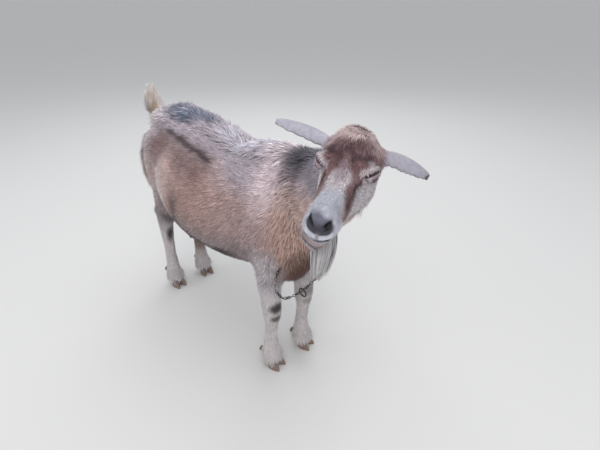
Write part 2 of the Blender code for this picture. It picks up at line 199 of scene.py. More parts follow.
def from_head(points):
    return points @ HEAD_TURN.T + BROW


def new_object(name, data):
    obj = bpy.data.objects.new(name, data)
    bpy.context.scene.collection.objects.link(obj)
    return obj


def read(items, key, width, kind=np.float32):
    """A mesh's values as an array, one row of width numbers for each item."""
    values = np.empty(len(items) * width, kind)
    items.foreach_get(key, values)
    return values.reshape(-1, width)


def read_points(mesh):
    return read(mesh.vertices, "co", 3).astype(float)


def read_normals(mesh):
    return read(mesh.vertices, "normal", 3).astype(float)


def read_triangles(mesh):
    mesh.calc_loop_triangles()
    return read(mesh.loop_triangles, "vertices", 3, np.int32)


def write_points(mesh, points):
    mesh.vertices.foreach_set("co", np.asarray(points, np.float32).ravel())
    mesh.update()


def shade_smooth(mesh):
    mesh.polygons.foreach_set("use_smooth", np.ones(len(mesh.polygons), bool))


def store(mesh, name, kind, values):
    """Keeps values, one row for each vertex, as an attribute that the materials read."""
    key = {"FLOAT": "value", "FLOAT_VECTOR": "vector", "FLOAT_COLOR": "color"}[kind]
    attribute = mesh.attributes.new(name, kind, "POINT")
    if kind == "FLOAT_COLOR":
        values = rows(len(values), *np.transpose(values), 1)
    attribute.data.foreach_set(key, np.asarray(values, np.float32).ravel())


def welded(obj, grow=0.0):
    """A CAD solid's points and faces with doubled corners made one, grown along its normals."""
    work = bmesh.new()
    work.from_mesh(obj.data)
    bmesh.ops.remove_doubles(work, verts=work.verts, dist=1e-5)
    bmesh.ops.triangulate(work, faces=work.faces)
    work.normal_update()
    points = np.array([v.co + v.normal * grow for v in work.verts])
    faces = np.array([[v.index for v in face.verts] for face in work.faces])
    work.free()
    return points, faces


def joined(names, grow):
    """The points and faces of several CAD solids in one list, with the index in names that owns each face."""
    points, faces, owners, count = [], [], [], 0
    for k, name in enumerate(names):
        some, triangles = welded(NODES[name], grow(name))
        points.append(some)
        faces.append(triangles + count)
        owners += [k] * len(triangles)
        count += len(some)
    return np.vstack(points), np.vstack(faces), owners


def tree_of(points, faces):
    return BVHTree.FromPolygons(points.tolist(), faces.tolist())


def bare_mesh(name, points, faces):
    mesh = bpy.data.meshes.new(name)
    mesh.from_pydata(np.asarray(points).tolist(), [], np.asarray(faces).tolist())
    mesh.update()
    return mesh


def applied(obj):
    """Turns the object's modifiers into its mesh."""
    graph = bpy.context.evaluated_depsgraph_get()
    mesh = bpy.data.meshes.new_from_object(obj.evaluated_get(graph))
    obj.modifiers.clear()
    obj.data = mesh
    return obj


def rounded(node, name):
    """A finer, smoothly shaded copy of a faceted CAD solid."""
    obj = new_object(name, bare_mesh(name, *welded(NODES[node])))
    fine = obj.modifiers.new("fine", "SUBSURF")
    fine.levels = fine.render_levels = 2
    applied(obj)
    shade_smooth(obj.data)
    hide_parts(node)
    return obj


class Net:
    """A mesh's edges, to spread values over its surface."""

    def __init__(self, mesh):
        ends = read(mesh.edges, "vertices", 2, np.int32)
        self.a, self.b = ends.T
        self.count = len(mesh.vertices)
        self.degree = np.bincount(ends.ravel(), minlength=self.count)[:, None].clip(1)

    def mean(self, values):
        total = np.empty_like(values)
        for k in range(values.shape[1]):
            total[:, k] = np.bincount(self.a, values[self.b, k], self.count)
            total[:, k] += np.bincount(self.b, values[self.a, k], self.count)
        return total / self.degree

    def spread(self, values, rounds):
        for _ in range(rounds):
            values = 0.5 * values + 0.5 * self.mean(values)
        return values

    def smooth(self, points, rounds, weight=1.0):
        """Laplacian smoothing that keeps the volume."""
        for k in range(2 * rounds):
            pull = 0.50 if k % 2 == 0 else -0.52
            points = points + pull * weight * (self.mean(points) - points)
        return points


# ---------------------------------------------------------------- the skin's shape

FACE_LOW = np.array([-0.060, -0.145, -0.100])  # the head without its ears, in its own frame
FACE_HIGH = np.array([0.060, 0.075, 0.040])


def melt():
    """All flesh, with what is set into it, as one closed mesh of small even faces."""
    points, faces, _ = joined(NAMES, lambda name: GROW if name in FLESH else 0)
    obj = new_object("skin", bare_mesh("skin", points, faces))
    remesh = obj.modifiers.new("melt", "REMESH")
    remesh.mode, remesh.voxel_size = "VOXEL", SKIN_GRID
    return applied(obj)


def refine(obj, wanted):
    """Halves the edges of the faces whose middle wanted() picks."""
    work = bmesh.new()
    work.from_mesh(obj.data)
    middles = np.array([face.calc_center_median() for face in work.faces])
    picked = wanted(middles)
    edges = {edge for face, use in zip(work.faces, picked) if use for edge in face.edges}
    bmesh.ops.subdivide_edges(work, edges=list(edges), cuts=1, use_grid_fill=True)
    work.to_mesh(obj.data)
    work.free()


def near_head(points):
    local = to_head(points)
    return ((local > FACE_LOW) & (local < FACE_HIGH)).all(axis=1)


def near_ears(points, slack=0.006):
    """Beyond the roots of the ears."""
    x, y, z = to_head(points).T
    inside = np.zeros(len(points), bool)
    for low, high in map(box, EARS):
        inside |= ((points > low - slack) & (points < high + slack)).all(axis=1)
    return (np.abs(x) > 0.050) & (y > 0.020) & (z > -0.085) & inside


def near_face(points):
    """Round the eyes, and the nose and mouth."""
    local = to_head(points)
    eye = np.linalg.norm(folded(local) - np.array(EYE_IN_HEAD), axis=1)
    return (eye < 0.0215) | (near_head(points) & (local[:, 1] < -0.083))


def nearest_nodes(points):
    """For each point the index in NAMES of the CAD node nearest to it."""
    corners, faces, owners = joined(NAMES, lambda name: 0)
    tree = tree_of(corners, faces)
    return np.array([owners[tree.find_nearest(Vector(point))[2]] for point in points])


def dive_under_horn(points, label):
    """Skin that would lie over a hoof or dewclaw goes just under its surface."""
    for name in HORN:
        tree = tree_of(*welded(NODES[name]))
        for index in np.flatnonzero(label == NAMES.index(name)):
            place, normal, _, _ = tree.find_nearest(Vector(points[index]))
            points[index] = place - normal * UNDER_HORN


SLIT_INNER = np.array([-0.0035, -0.0140, 0.0020])  # the corners of the left eye's slit, from the eye's centre
SLIT_OUTER = np.array([0.0120, 0.0045, 0.0050])
SLIT_HALF = 0.0013
SLIT_ARCH = 0.10  # the slit's rise in its middle, as an angle at the eye's centre
LID = 0.0018
EYE_SET_IN = 0.0022  # the skin lies this far inside the eyeball where the lids are apart


def eye_polar(local, side):
    """How far head-frame points are from an eye's centre, then along its slit and above it as angles.
    The first angle is 0 at the inner corner and 1 at the outer."""
    mirrored = local * [side, 1, 1] - np.array(EYE_IN_HEAD)
    reach = np.linalg.norm(mirrored, axis=1)
    inner, outer = unit(SLIT_INNER), unit(SLIT_OUTER)
    pole = unit(np.cross(inner, outer))
    ahead = unit(np.cross(pole, inner))
    span = math.acos(float(inner @ outer))
    way = unit(mirrored)
    along = np.arctan2(way @ ahead, way @ inner) / span
    above = np.arcsin(np.clip(way @ pole, -1, 1))
    return reach, along, above


def about_slit(local, side):
    """eye_polar with its last angle from the slit's arched middle, and half the slit's opening there."""
    reach, along, above = eye_polar(local, side)
    bulge = np.clip(4 * along * (1 - along), 0, 1)
    return reach, along, above - SLIT_ARCH * bulge, SLIT_HALF / EYE_RADIUS * np.sqrt(bulge)


def shape_eyes(local):
    """Lids over each eyeball, nearly closed, with a fold above and a bag below."""
    for side in (1, -1):
        centre = np.array(EYE_IN_HEAD) * [side, 1, 1]
        reach, along, above, half = about_slit(local, side)
        way = unit(local - centre)
        out = way @ np.array([side * 0.80, -0.45, 0.40])
        near = (reach < EYE_RADIUS + 0.012) & (out > 0.25)
        lid = EYE_RADIUS + LID * step(0.0, 0.30, np.abs(above) - half + 0.12)
        lid += 0.0011 * hump(above - 0.32, 0.14) + 0.0007 * hump(above + 0.30, 0.16)
        lid -= 0.0009 * hump(above - 0.72, 0.10) * (np.abs(along - 0.5) < 0.9)
        lid -= 0.0005 * hump(above + 0.62, 0.10) * (np.abs(along - 0.5) < 0.8)
        fade = step(EYE_RADIUS + 0.0065, EYE_RADIUS + 0.0020, reach) * step(0.25, 0.50, out)
        new = reach + fade * (lid - reach)
        apart = near & (np.abs(above) < half) & (along > 0.0) & (along < 1.0)
        new = np.where(apart, EYE_RADIUS - EYE_SET_IN, new)
        local = np.where(near[:, None], centre + way * new[:, None], local)
    return local


NOSTRIL = np.array([0.0120, -0.1195, -0.0130])
MOUTH_Z, MOUTH_RISE = -0.0425, 14.0
MOUTH_LOW_X = -0.003  # the lips' line is lowest a little to the goat's right
MUZZLE_BACK = -0.088
JAW_SHIFT = (-0.0082, -0.0066, -0.0096)  # the lower jaw hangs a little open and to the right, as in chewing
JAW_DROP = 0.0072  # from the meeting line down to the middle of the dropped lower lip
JAW_NARROWS = 0.24


def mouth_line(x):
    """Height of the lips' meeting line."""
    return MOUTH_Z + MOUTH_RISE * (x - MOUTH_LOW_X) ** 2


def about_nostril(local, side):
    """How far points are from a nostril's middle, first along its slit and then across it."""
    offset = local - NOSTRIL * [side, 1, 1]
    slit, above = np.array([side * 0.83, 0.30, 0.47]), np.array([-side * 0.50, 0.0, 0.86])
    return offset @ unit(slit), offset @ unit(above)


def shape_muzzle(local, normals):
    """Nostrils, the groove between them, lips with a line between, and a lower jaw that hangs a little."""
    x, y, z = local.T
    push = np.zeros(len(local))
    for side in (1, -1):
        along, across = about_nostril(local, side)
        push -= 0.0048 * hump(along, 0.0062) * hump(across, 0.0030) * (y < -0.100)
        push += 0.0016 * hump(along, 0.0085) * hump(across - 0.0062, 0.0032) * (y < -0.095)
    groove = hump(x, 0.0016) * step(-0.012, -0.018, z) * step(-0.040, -0.036, z)
    push -= 0.0014 * step(-0.100, -0.112, y) * groove
    rise = z - mouth_line(x)
    lips = step(MUZZLE_BACK, MUZZLE_BACK - 0.010, y)
    push -= 0.0034 * lips * hump(rise, 0.0016)
    push += 0.0016 * lips * hump(rise - 0.0050, 0.0032)
    push += 0.0024 * lips * hump(rise + 0.0052, 0.0036) * step(0.026, 0.018, np.abs(x))
    local = local + normals * push[:, None]
    jaw = step(0.001, -0.006, rise) * step(-0.070, -0.100, y)
    local[:, 0] *= 1 - JAW_NARROWS * jaw * step(-0.080, -0.105, y)
    local += jaw[:, None] * np.array(JAW_SHIFT)
    return local


def depth_by_node(label):
    """The coat's depth at each vertex, from the CAD node nearest to it."""
    return np.array([COAT_DEPTH.get(name, NEAR_HORN_DEPTH) for name in NAMES])[label]


def build_skin():
    """The skin object, its net and its label for each vertex, an index in NAMES."""
    obj = melt()
    net = Net(obj.data)
    points = read_points(obj.data)
    firm = net.spread(near_ears(points)[:, None].astype(float), 3)
    write_points(obj.data, net.smooth(points, 14, 1 - 0.94 * firm))
    refine(obj, lambda middles: near_head(middles) | near_ears(middles))
    refine(obj, near_face)
    net = Net(obj.data)
    points = read_points(obj.data)
    finer = (near_head(points) | near_ears(points))[:, None].astype(float)
    points = net.smooth(points, 12, net.spread(finer, 4))
    write_points(obj.data, points)
    label = nearest_nodes(points)
    depth = np.where(points[:, 2] < PASTERN_TOP, NEAR_HORN_DEPTH, depth_by_node(label))
    depth = net.spread(depth[:, None], 24)
    bare_face = step(-0.070, -0.105, to_head(points)[:, 1]) * near_head(points)
    depth[:, 0] *= 1 - 0.8 * bare_face
    points -= read_normals(obj.data) * (depth + GROW)
    write_points(obj.data, points)
    head = near_head(points)
    local = shape_muzzle(to_head(points[head]), read_normals(obj.data)[head] @ HEAD_TURN)
    points[head] = from_head(shape_eyes(local))
    dive_under_horn(points, label)
    write_points(obj.data, points)
    shade_smooth(obj.data)
    return obj, net, label


# ---------------------------------------------------------------- the coat's colours

SILVER, SLATE, FROST = srgb(176, 165, 174), srgb(98, 105, 124), srgb(206, 204, 216)
ROSE, PEACH, TAN = srgb(184, 160, 158), srgb(172, 142, 134), srgb(206, 173, 160)
SHOULDER_PALE, ELBOW_GREY = srgb(234, 214, 218), srgb(194, 188, 192)
BRISKET_SHADE, BELLY_GREY_IN_SHADE, UNDERSIDE_SHADE = srgb(84, 58, 52), srgb(142, 131, 133), srgb(46, 36, 38)
CREASE_SHADE, BELOW_CREASE_SHADE = srgb(66, 52, 56), srgb(120, 94, 90)
CREAM, FLANK_PALE, THIGH_FOLD_SHADE = srgb(214, 206, 202), srgb(222, 196, 192), srgb(84, 68, 70)
NECK_TAN, NECK_GREY, NECK_LINE = srgb(216, 186, 178), srgb(156, 150, 162), srgb(84, 66, 68)
MANE, MANE_FRONT = srgb(38, 37, 48), srgb(96, 94, 108)
LEG_WHITE, FOREARM_GREY = srgb(214, 206, 206), srgb(196, 194, 202)
CHARCOAL, CALLUS = srgb(50, 46, 52), srgb(96, 90, 82)
THIGH_GREY, HOCK_GREY = srgb(150, 138, 140), srgb(104, 96, 100)
LEG_INSIDE_SHADE, FAR_LEG_SHADE = srgb(108, 84, 76), srgb(136, 106, 92)
RUST, DARK_RUST, TEMPLE = srgb(124, 94, 94), srgb(72, 50, 58), srgb(134, 106, 104)
POLL_TAN, MIDLINE = srgb(207, 185, 184), srgb(158, 142, 150)
CHEEK, CHEEK_GREY, NOSE_WHITE = srgb(206, 198, 203), srgb(196, 186, 190), srgb(195, 196, 207)
PAD, LOW_PAD, NOSTRIL_SHADE, GROOVE_SHADE = srgb(66, 66, 82), srgb(38, 30, 38), srgb(14, 10, 14), srgb(112, 98, 108)
LIP, UNDER_LIP_SHADOW, MOUTH_SHADE = srgb(140, 119, 120), srgb(70, 52, 54), srgb(40, 26, 28)
CHIN = srgb(184, 176, 178)
TEAR_DARK, SLIT_DARK = srgb(46, 29, 33), srgb(44, 32, 38)
LID_PALE, LID_LOW = srgb(198, 186, 190), srgb(176, 158, 166)
EAR_LILAC, EAR_DARK, EAR_UNDERSIDE_SHADE = srgb(182, 178, 190), srgb(66, 58, 66), srgb(150, 134, 140)
TAIL_TAN, UDDER_BROWN_AND_SHADE = srgb(164, 128, 92), srgb(104, 80, 76)
BEARD_WHITE, LASH_BROWN = srgb(172, 169, 170), srgb(70, 52, 52)

CREASE_LINE = [(0, 0.250, 0.549), (0, 0.20, 0.547), (0, 0.13, 0.540), (0, 0.040, 0.524)]  # seen from the side
NECK_EDGE = [(-0.05, -0.222, 0.58), (-0.066, -0.224, 0.54), (-0.074, -0.236, 0.505), (-0.07, -0.256, 0.48)]
# the belly's lower edge seen from the side, along which a band of painted shade runs
UNDERLINE_Y, UNDERLINE_Z = (-0.05, 0.0, 0.09, 0.15), (0.330, 0.338, 0.355, 0.376)
LEG_X = (-0.0135, 0.0935)  # right, left
KNEE_Y, KNEE_Z, HOCK_Y, HOCK_Z = -0.152, 0.201, 0.356, 0.192


def on_flank(points):
    """Body points with both sides laid on the right one: x is minus the distance from the spine."""
    return folded(points, SPINE_X) * [-1, 1, 1]


def body_colours(points, normals):
    """Markings of the trunk and rump, and what the neck's and legs' markings lie on, with painted shade under
    the belly, along the flank's crease, in the thigh's fold and low on the chest.
    """
    side = on_flank(shaken(points, 0.010, 0.09, (11, 12, 13)))
    s, y, z = side.T
    colours = np.tile(ROSE, (len(points), 1))
    paint(colours, step(0.46, 0.53, z + 0.10 * (y > 0.2) * (y - 0.2)), SILVER)
    dapple(colours, side, (0.75, PEACH, (-0.12, 0.13, 0.44), (0.10, 0.17, 0.085), 0.6))
    # the lower trunk in the belly's paler grey, darkened as painted shade
    paint(colours, 0.80 * step(0.42, 0.34, z) * step(-0.17, -0.10, y), BELLY_GREY_IN_SHADE)
    dapple(
        colours,
        side,
        (0.90, SHOULDER_PALE, (-0.065, -0.155, 0.525), (0.09, 0.048, 0.075), 0.7),
        (0.90, TAN, (-0.05, -0.200, 0.41), (0.09, 0.045, 0.11), 0.5),
        (1.00, TAN, (0.0, -0.235, 0.34), (0.075, 0.075, 0.075), 0.5),
        # painted shade low on the chest
        (0.92, BRISKET_SHADE, (0.0, -0.212, 0.296), (0.058, 0.075, 0.070), 0.6),
        (0.85, ELBOW_GREY, (-0.085, -0.148, 0.285), (0.050, 0.045, 0.072), 0.5),
    )
    ridge = step(0.037, 0.010, np.abs(s) + 0.012 * wobble(points, 0.03, 41))
    paint(colours, 0.92 * ridge * step(0.53, 0.57, z) * step(0.30, 0.27, y) * step(0.09, 0.13, y), SLATE)
    paint(colours, 0.58 * ridge * step(-0.17, -0.10, y) * step(0.10, 0.06, y), FROST)
    profile = on_flank(points + 0.003 * wobble(points, 0.02, 14)[:, None]) * [0, 1, 1]
    high = step(-0.045, -0.060, s)
    # painted shade: a dark line along the flank's crease and a darker brownish band just below it
    below = [(x, along + 0.01, height - 0.024) for x, along, height in CREASE_LINE]
    paint(colours, 0.65 * high * streak(profile, below, 0.026, 0.8), BELOW_CREASE_SHADE)
    paint(colours, 0.92 * high * streak(profile, CREASE_LINE, 0.0048, 0.9), CREASE_SHADE)
    paint(colours, 0.50 * step(0.27, 0.35, y) * step(0.30, 0.36, z), CREAM)
    dapple(
        colours,
        side,
        (0.60, FLANK_PALE, (-0.115, 0.205, 0.455), (0.06, 0.055, 0.05), 0.7),
        (0.95, CREAM, (-0.135, 0.240, 0.39), (0.05, 0.036, 0.09), 0.6),
        (0.75, RUST, (-0.09, 0.275, 0.508), (0.035, 0.050, 0.034), 0.6),
        # painted shade in the fold between the flank and the thigh
        (0.75, THIGH_FOLD_SHADE, (-0.15, 0.128, 0.396), (0.05, 0.022, 0.040), 0.8),
    )
    # painted shade: skin that faces down under the trunk, and a band along the belly's lower edge, are painted
    # near black
    underneath = step(-0.42, -0.72, normals[:, 2]) * step(0.38, 0.35, points[:, 2]) * step(-0.09, -0.02, y)
    paint(colours, 0.90 * underneath, UNDERSIDE_SHADE)
    edge = step(0.006, -0.006, z - np.interp(y, UNDERLINE_Y, UNDERLINE_Z))
    paint(colours, 0.90 * edge * step(-0.09, -0.03, y) * step(0.19, 0.15, y), UNDERSIDE_SHADE)
    return colours


def add_neck_colours(colours, points, share):
    """The dark mane behind the head, its line down the neck's edge, and the tan throat."""
    side = on_flank(shaken(points, 0.006, 0.05, (21, 22, 23)))
    paint(colours, share * 0.85, NECK_TAN)
    paint(colours, share * 0.85 * step(0.50, 0.58, points[:, 2]), NECK_GREY)
    dapple(
        colours,
        side,
        (0.92, MANE, (-0.02, -0.220, 0.594), (0.052, 0.036, 0.038), 0.8),
        (0.70, MANE_FRONT, (-0.03, -0.270, 0.605), (0.045, 0.040, 0.030), 0.6),
    )
    draw(colours, side, (0.75, NECK_LINE, NECK_EDGE, 0.010, 0.7))


def leg_colours(points):
    """White legs with dark knees, a callus below each and dark hocks, with painted shade inside the hind legs
    and on the far hind leg.
    """
    colours = np.tile(LEG_WHITE, (len(points), 1))
    x, y, z = points.T
    fore = step(0.10, -0.02, y)
    hind = 1 - fore
    inner = step(0.052, 0.030, np.abs(x - SPINE_X))
    paint(colours, 0.65 * fore * step(0.21, 0.26, z), FOREARM_GREY)
    for leg_x, strength in zip(LEG_X, (0.95, 0.45)):
        knee = np.array([leg_x - 0.004, KNEE_Y, KNEE_Z])
        dapple(
            colours,
            points,
            (strength, CHARCOAL, knee, (0.017, 0.014, 0.015), 0.5),
            (strength, CALLUS, knee - [0, 0, 0.033], (0.015, 0.012, 0.010), 0.5),
        )
    paint(colours, 0.75 * hind * step(0.20, 0.27, z), THIGH_GREY)
    # painted shade on the insides of the hind legs, between them
    paint(colours, 0.85 * hind * inner * step(0.09, 0.15, z), LEG_INSIDE_SHADE)
    for leg_x in LEG_X:
        dapple(
            colours,
            points,
            (0.95, CHARCOAL, (leg_x - 0.003, HOCK_Y, HOCK_Z), (0.013, 0.013, 0.030), 0.5),
            (0.75, HOCK_GREY, (leg_x - 0.02, 0.300, 0.285), (0.035, 0.035, 0.055), 0.5),
        )
    # painted shade over the far hind leg
    paint(colours, 0.8 * hind * (x > SPINE_X) * step(0.07, 0.12, z), FAR_LEG_SHADE)
    return colours


BROW_LINES = (
    (0.90, DARK_RUST, [(0.030, 0.020, 0.004), (0.023, 0.000, 0.004), (0.021, -0.012, 0.002)], 0.0085, 0.6),
    (0.80, DARK_RUST, [(0.000, 0.022, 0.012), (0.010, 0.010, 0.010), (0.014, -0.002, 0.006)], 0.0085, 0.6),
)
STRIPE = [(0.021, -0.006, -0.002), (0.0235, -0.03, -0.008), (0.0235, -0.055, -0.015), (0.027, -0.082, -0.031)]
TEAR = [(0.0305, -0.018, -0.01), (0.027, -0.026, -0.012), (0.026, -0.047, -0.018), (0.0255, -0.07, -0.021)]
EYE_STRIPES = ((0.95, RUST, STRIPE, 0.0106, 0.5), (0.90, TEAR_DARK, TEAR, 0.0034, 0.6))
ABOVE_EYE = [(0.0385, 0.004, 0.004), (0.044, 0.010, -0.002)]


def head_colours(points):
    """A brown brow that runs as a stripe from each eye down beside a white nose, with pale cheeks."""
    local = shaken(to_head(points), 0.0022, 0.016, (31, 32, 33))
    face = folded(local)
    x, y, z = face.T
    colours = np.tile(CHEEK, (len(points), 1))
    paint(colours, step(-0.030, -0.012, z) * step(-0.048, -0.070, y) * step(0.022, 0.015, x), NOSE_WHITE)
    paint(colours, step(0.030, 0.044, x) * step(0.02, -0.01, y) * 0.5, CHEEK_GREY)
    peaked = y + 0.35 * (0.020 - x).clip(0)
    brow = step(-0.020, -0.008, peaked) * step(-0.026, -0.014, z) * step(0.062, 0.050, x)
    paint(colours, 0.95 * brow, RUST)
    draw(colours, face, *BROW_LINES)
    paint(colours, 0.6 * brow * step(0.1, 0.8, wobble(local, 0.011, 43)), DARK_RUST)
    poll = step(0.026, 0.046, y + 0.006 * wobble(local, 0.02, 42)) * step(-0.036, -0.018, z)
    paint(colours, 0.95 * poll, POLL_TAN)
    dapple(colours, face, (0.80, MIDLINE, (0.0, -0.026, 0.0), (0.0085, 0.022, 0.02), 0.6))
    draw(colours, face, *EYE_STRIPES)
    dapple(colours, face, (0.75, TEMPLE, (0.043, 0.028, -0.010), (0.018, 0.016, 0.014), 0.6))
    draw(colours, face, (0.85, LID_PALE, ABOVE_EYE, 0.0065, 0.7))
    add_muzzle_colours(colours, local)
    add_lid_colours(colours, to_head(points), x > 0.024)
    return colours


def add_muzzle_colours(colours, local):
    """A dark pad with nostrils painted near black as painted shade in their hollows, a groove below it painted
    darker as painted shade, lips with painted shade between them and below the lower one, and a pale chin.
    """
    x, y, z = folded(local).T
    muzzle = step(MUZZLE_BACK, -0.100, y)
    paint(colours, 0.9 * muzzle, NOSE_WHITE)
    pad = step(-0.101, -0.114, y) * step(0.021, 0.016, x + 0.35 * (-0.018 - z).clip(0))
    pad *= step(-0.028, -0.023, z)
    paint(colours, 0.92 * pad, PAD)
    paint(colours, 0.60 * pad * step(-0.006, -0.018, z), LOW_PAD)
    # painted shade in the groove below the pad
    groove = step(0.0045, 0.0015, x) * step(-0.018, -0.022, z) * step(-0.040, -0.034, z) * muzzle
    paint(colours, 0.55 * groove, GROOVE_SHADE)
    # painted shade: the nostrils' hollows painted near black
    for side in (1, -1):
        along, across = about_nostril(local, side)
        hole = step(1.5, 0.9, np.sqrt((along / 0.0068) ** 2 + (across / 0.0036) ** 2)) * (y < -0.1)
        paint(colours, hole, NOSTRIL_SHADE)
    rise = z - mouth_line(local[:, 0])
    paint(colours, 0.7 * muzzle * step(-0.0115, -0.0140, rise), CHIN)
    lips = muzzle * step(0.025, 0.017, np.abs(local[:, 0] + 0.004))
    paint(colours, 0.85 * lips * step(0.0048, 0.0030, np.abs(rise + JAW_DROP)), LIP)
    # painted shade: a dark line under the lower lip and in the gap between the lips
    paint(colours, 0.80 * lips * step(0.0022, 0.0010, np.abs(rise + JAW_DROP + 0.0042)), UNDER_LIP_SHADOW)
    paint(colours, 0.95 * muzzle * step(0.0032, 0.0016, np.abs(rise)), MOUTH_SHADE)


def add_lid_colours(colours, local, outer):
    """Pale lids with a dark line where they meet, on the outer part of the face."""
    for side in (1, -1):
        reach, along, above, half = about_slit(local, side)
        close = step(EYE_RADIUS + 0.009, EYE_RADIUS + 0.004, reach) * outer
        inside = step(-0.25, 0.0, along) * step(1.25, 1.0, along)
        paint(colours, 0.9 * close * step(1.00, 0.75, above) * step(0.0, 0.2, above) * inside, LID_PALE)
        paint(colours, 0.8 * close * step(-0.75, -0.50, above) * step(0.0, -0.15, above) * inside, LID_LOW)
        paint(colours, 0.95 * close * inside * step(half + 0.20, half + 0.06, np.abs(above)), SLIT_DARK)


def add_ear_colours(colours, points, normals, ear, share):
    """Pale lilac outside and darker inside, painted shade of the ear's underside. The left ear has a dark tip.
    """
    facing = normals @ unit(HEAD_TURN @ np.array(EAR_BACK[ear]))
    own = np.tile(EAR_LILAC, (len(points), 1))
    # painted shade: the side of the ear that faces down is darker
    paint(own, step(0.05, -0.35, facing), EAR_UNDERSIDE_SHADE)
    paint(own, 0.30 * step(0.45, 0.10, np.abs(facing)) * step(0.10, -0.05, facing), EAR_DARK)
    along = points @ unit(HEAD_TURN @ np.array(EAR_AIM[ear]))
    tip = step(0.018, 0.006, along[share > 0.5].max() - along)
    if ear == "ear_left":
        paint(own, 0.9 * tip * step(0.75, 0.35, facing), EAR_DARK)
    colours += share[:, None] * (own - colours)


def tail_line(points):
    """The tail's middle at each point's height: it leans back as it rises."""
    rise = (points[:, 2] - TAIL_LOW[2]) / (TAIL_HIGH[2] - TAIL_LOW[2])
    middle_x = (TAIL_LOW[0] + TAIL_HIGH[0]) / 2
    return rows(len(points), middle_x, TAIL_LOW[1] + 0.016 + 0.040 * rise, points[:, 2])


def tail_colours(points):
    """Cream fluff with a tan band down the side that faces forward and to the right."""
    colours = np.tile(CREAM, (len(points), 1))
    apart = points - tail_line(points)
    band = step(-0.002, 0.005, apart @ unit(np.array([-0.62, -0.78, 0])))
    band *= step(0.015, 0.007, np.abs(apart @ unit(np.array([0.78, -0.62, 0]))))
    paint(colours, 0.85 * band * step(TAIL_HIGH[2] - 0.024, TAIL_HIGH[2] - 0.036, points[:, 2]), TAIL_TAN)
    return colours


def skin_colours(points, normals, share):
    """The markings at each skin point. share holds each region's part in a point, 0 to 1."""
    colours = body_colours(points, normals)
    add_neck_colours(colours, points, share["neck"])
    layers = (
        (share["legs"] * step(0.36, 0.29, points[:, 2]), leg_colours(points)),
        (share["tail"], tail_colours(points)),
        # the udder is brown, darkened as painted shade between the hind legs
        (share["udder"], np.tile(UDDER_BROWN_AND_SHADE, (len(points), 1))),
        (share["head"], head_colours(points)),
    )
    for weight, layer in layers:
        colours += weight[:, None] * (layer - colours)
    for ear in EARS:
        add_ear_colours(colours, points, normals, ear, share[ear])
    return colours * (1 + 0.04 * wobble(points, 0.03, 5))[:, None]


# ---------------------------------------------------------------- the coat's lie and length


def along_skin(field, normals):
    return unit(field - (field * normals).sum(axis=1, keepdims=True) * normals)


def lay_directions(points, normals, share):
    """Which way the hair runs along the skin."""
    x, y, z = points.T
    n = len(points)
    outward = np.sign(x - SPINE_X)
    down = step(0.56, 0.40, z)
    trunk = rows(n, 0.25 * outward * (1 - down), 1.0 - 0.35 * down, -0.15 - 0.50 * down)
    trunk = blend(trunk, rows(n, 0.1 * outward, 0.15, -1.0), step(0.30, 0.40, y))
    trunk = blend(trunk, rows(n, 0, 0.25, -1.0), step(-0.13, -0.20, y))
    neck = rows(n, 0.30, 0.62, -0.62)
    local = to_head(points)
    parted = 0.5 * np.sign(local[:, 0]) * step(0, 0.03, np.abs(local[:, 0]))
    cheek, top = rows(n, 0, 0.55, -0.75), rows(n, parted, -1, -0.3)
    head = blend(cheek, top, step(-0.030, -0.010, local[:, 2])) @ HEAD_TURN.T
    legs = rows(n, 0, 0.10, -1.0)
    apart = points - tail_line(points)
    tail = rows(n, 14 * apart[:, 0], 14 * apart[:, 1], 1)
    field = legs * share["udder"][:, None]
    parts = {"trunk": trunk, "neck": neck, "head": unit(head), "legs": legs, "tail": tail}
    parts |= {ear: unit(HEAD_TURN @ np.array(EAR_AIM[ear])) for ear in EARS}
    for part, way in parts.items():
        field += way * share[part][:, None]
    return along_skin(field, normals)


def hair_lengths(points, share):
    """Length of the hair at each skin point, in metres."""
    x, y, z = points.T
    spine = step(0.045, 0.015, np.abs(x - SPINE_X)) * step(0.50, 0.54, z)
    trunk = 0.0165 + 0.010 * spine + 0.006 * step(0.33, 0.27, z) + 0.010 * step(0.34, 0.40, y)
    local = to_head(points)
    head = 0.0060 + 0.009 * step(0.000, 0.030, local[:, 1]) * step(-0.02, 0.0, local[:, 2])
    head += 0.004 * step(-0.035, -0.055, local[:, 2]) * step(-0.085, -0.06, local[:, 1])
    head = head * (1 - 0.62 * step(-0.075, -0.105, local[:, 1]))
    legs = 0.0085 + 0.010 * step(0.20, 0.28, z) + 0.011 * step(0.058, 0.040, z)
    fluff = 0.034 - 0.020 * step(TAIL_LOW[2] + 0.020, TAIL_HIGH[2] - 0.010, z)
    lengths = share["trunk"] * trunk + share["neck"] * 0.020 + share["head"] * head + share["legs"] * legs
    ears = share["ear_left"] + share["ear_right"]
    return lengths + share["tail"] * fluff + share["udder"] * 0.004 + ears * 0.0042


# ---------------------------------------------------------------- tufts

COARSER = 1.0  # above 1, fewer and wider tufts
OFF_FLOOR = 0.0015  # the lowest that the fringe round a hoof reaches
PATCH = 0.0015  # half of a tuft's patch on the unwrap
TUFT_CORNERS = ((-0.5, 0.0), (0.5, 0.0), (0.0, 0.42))  # of a blade's cross-section, in its widths
SEEDS = 40  # each tuft's streaks come from its own slice of a noise this long


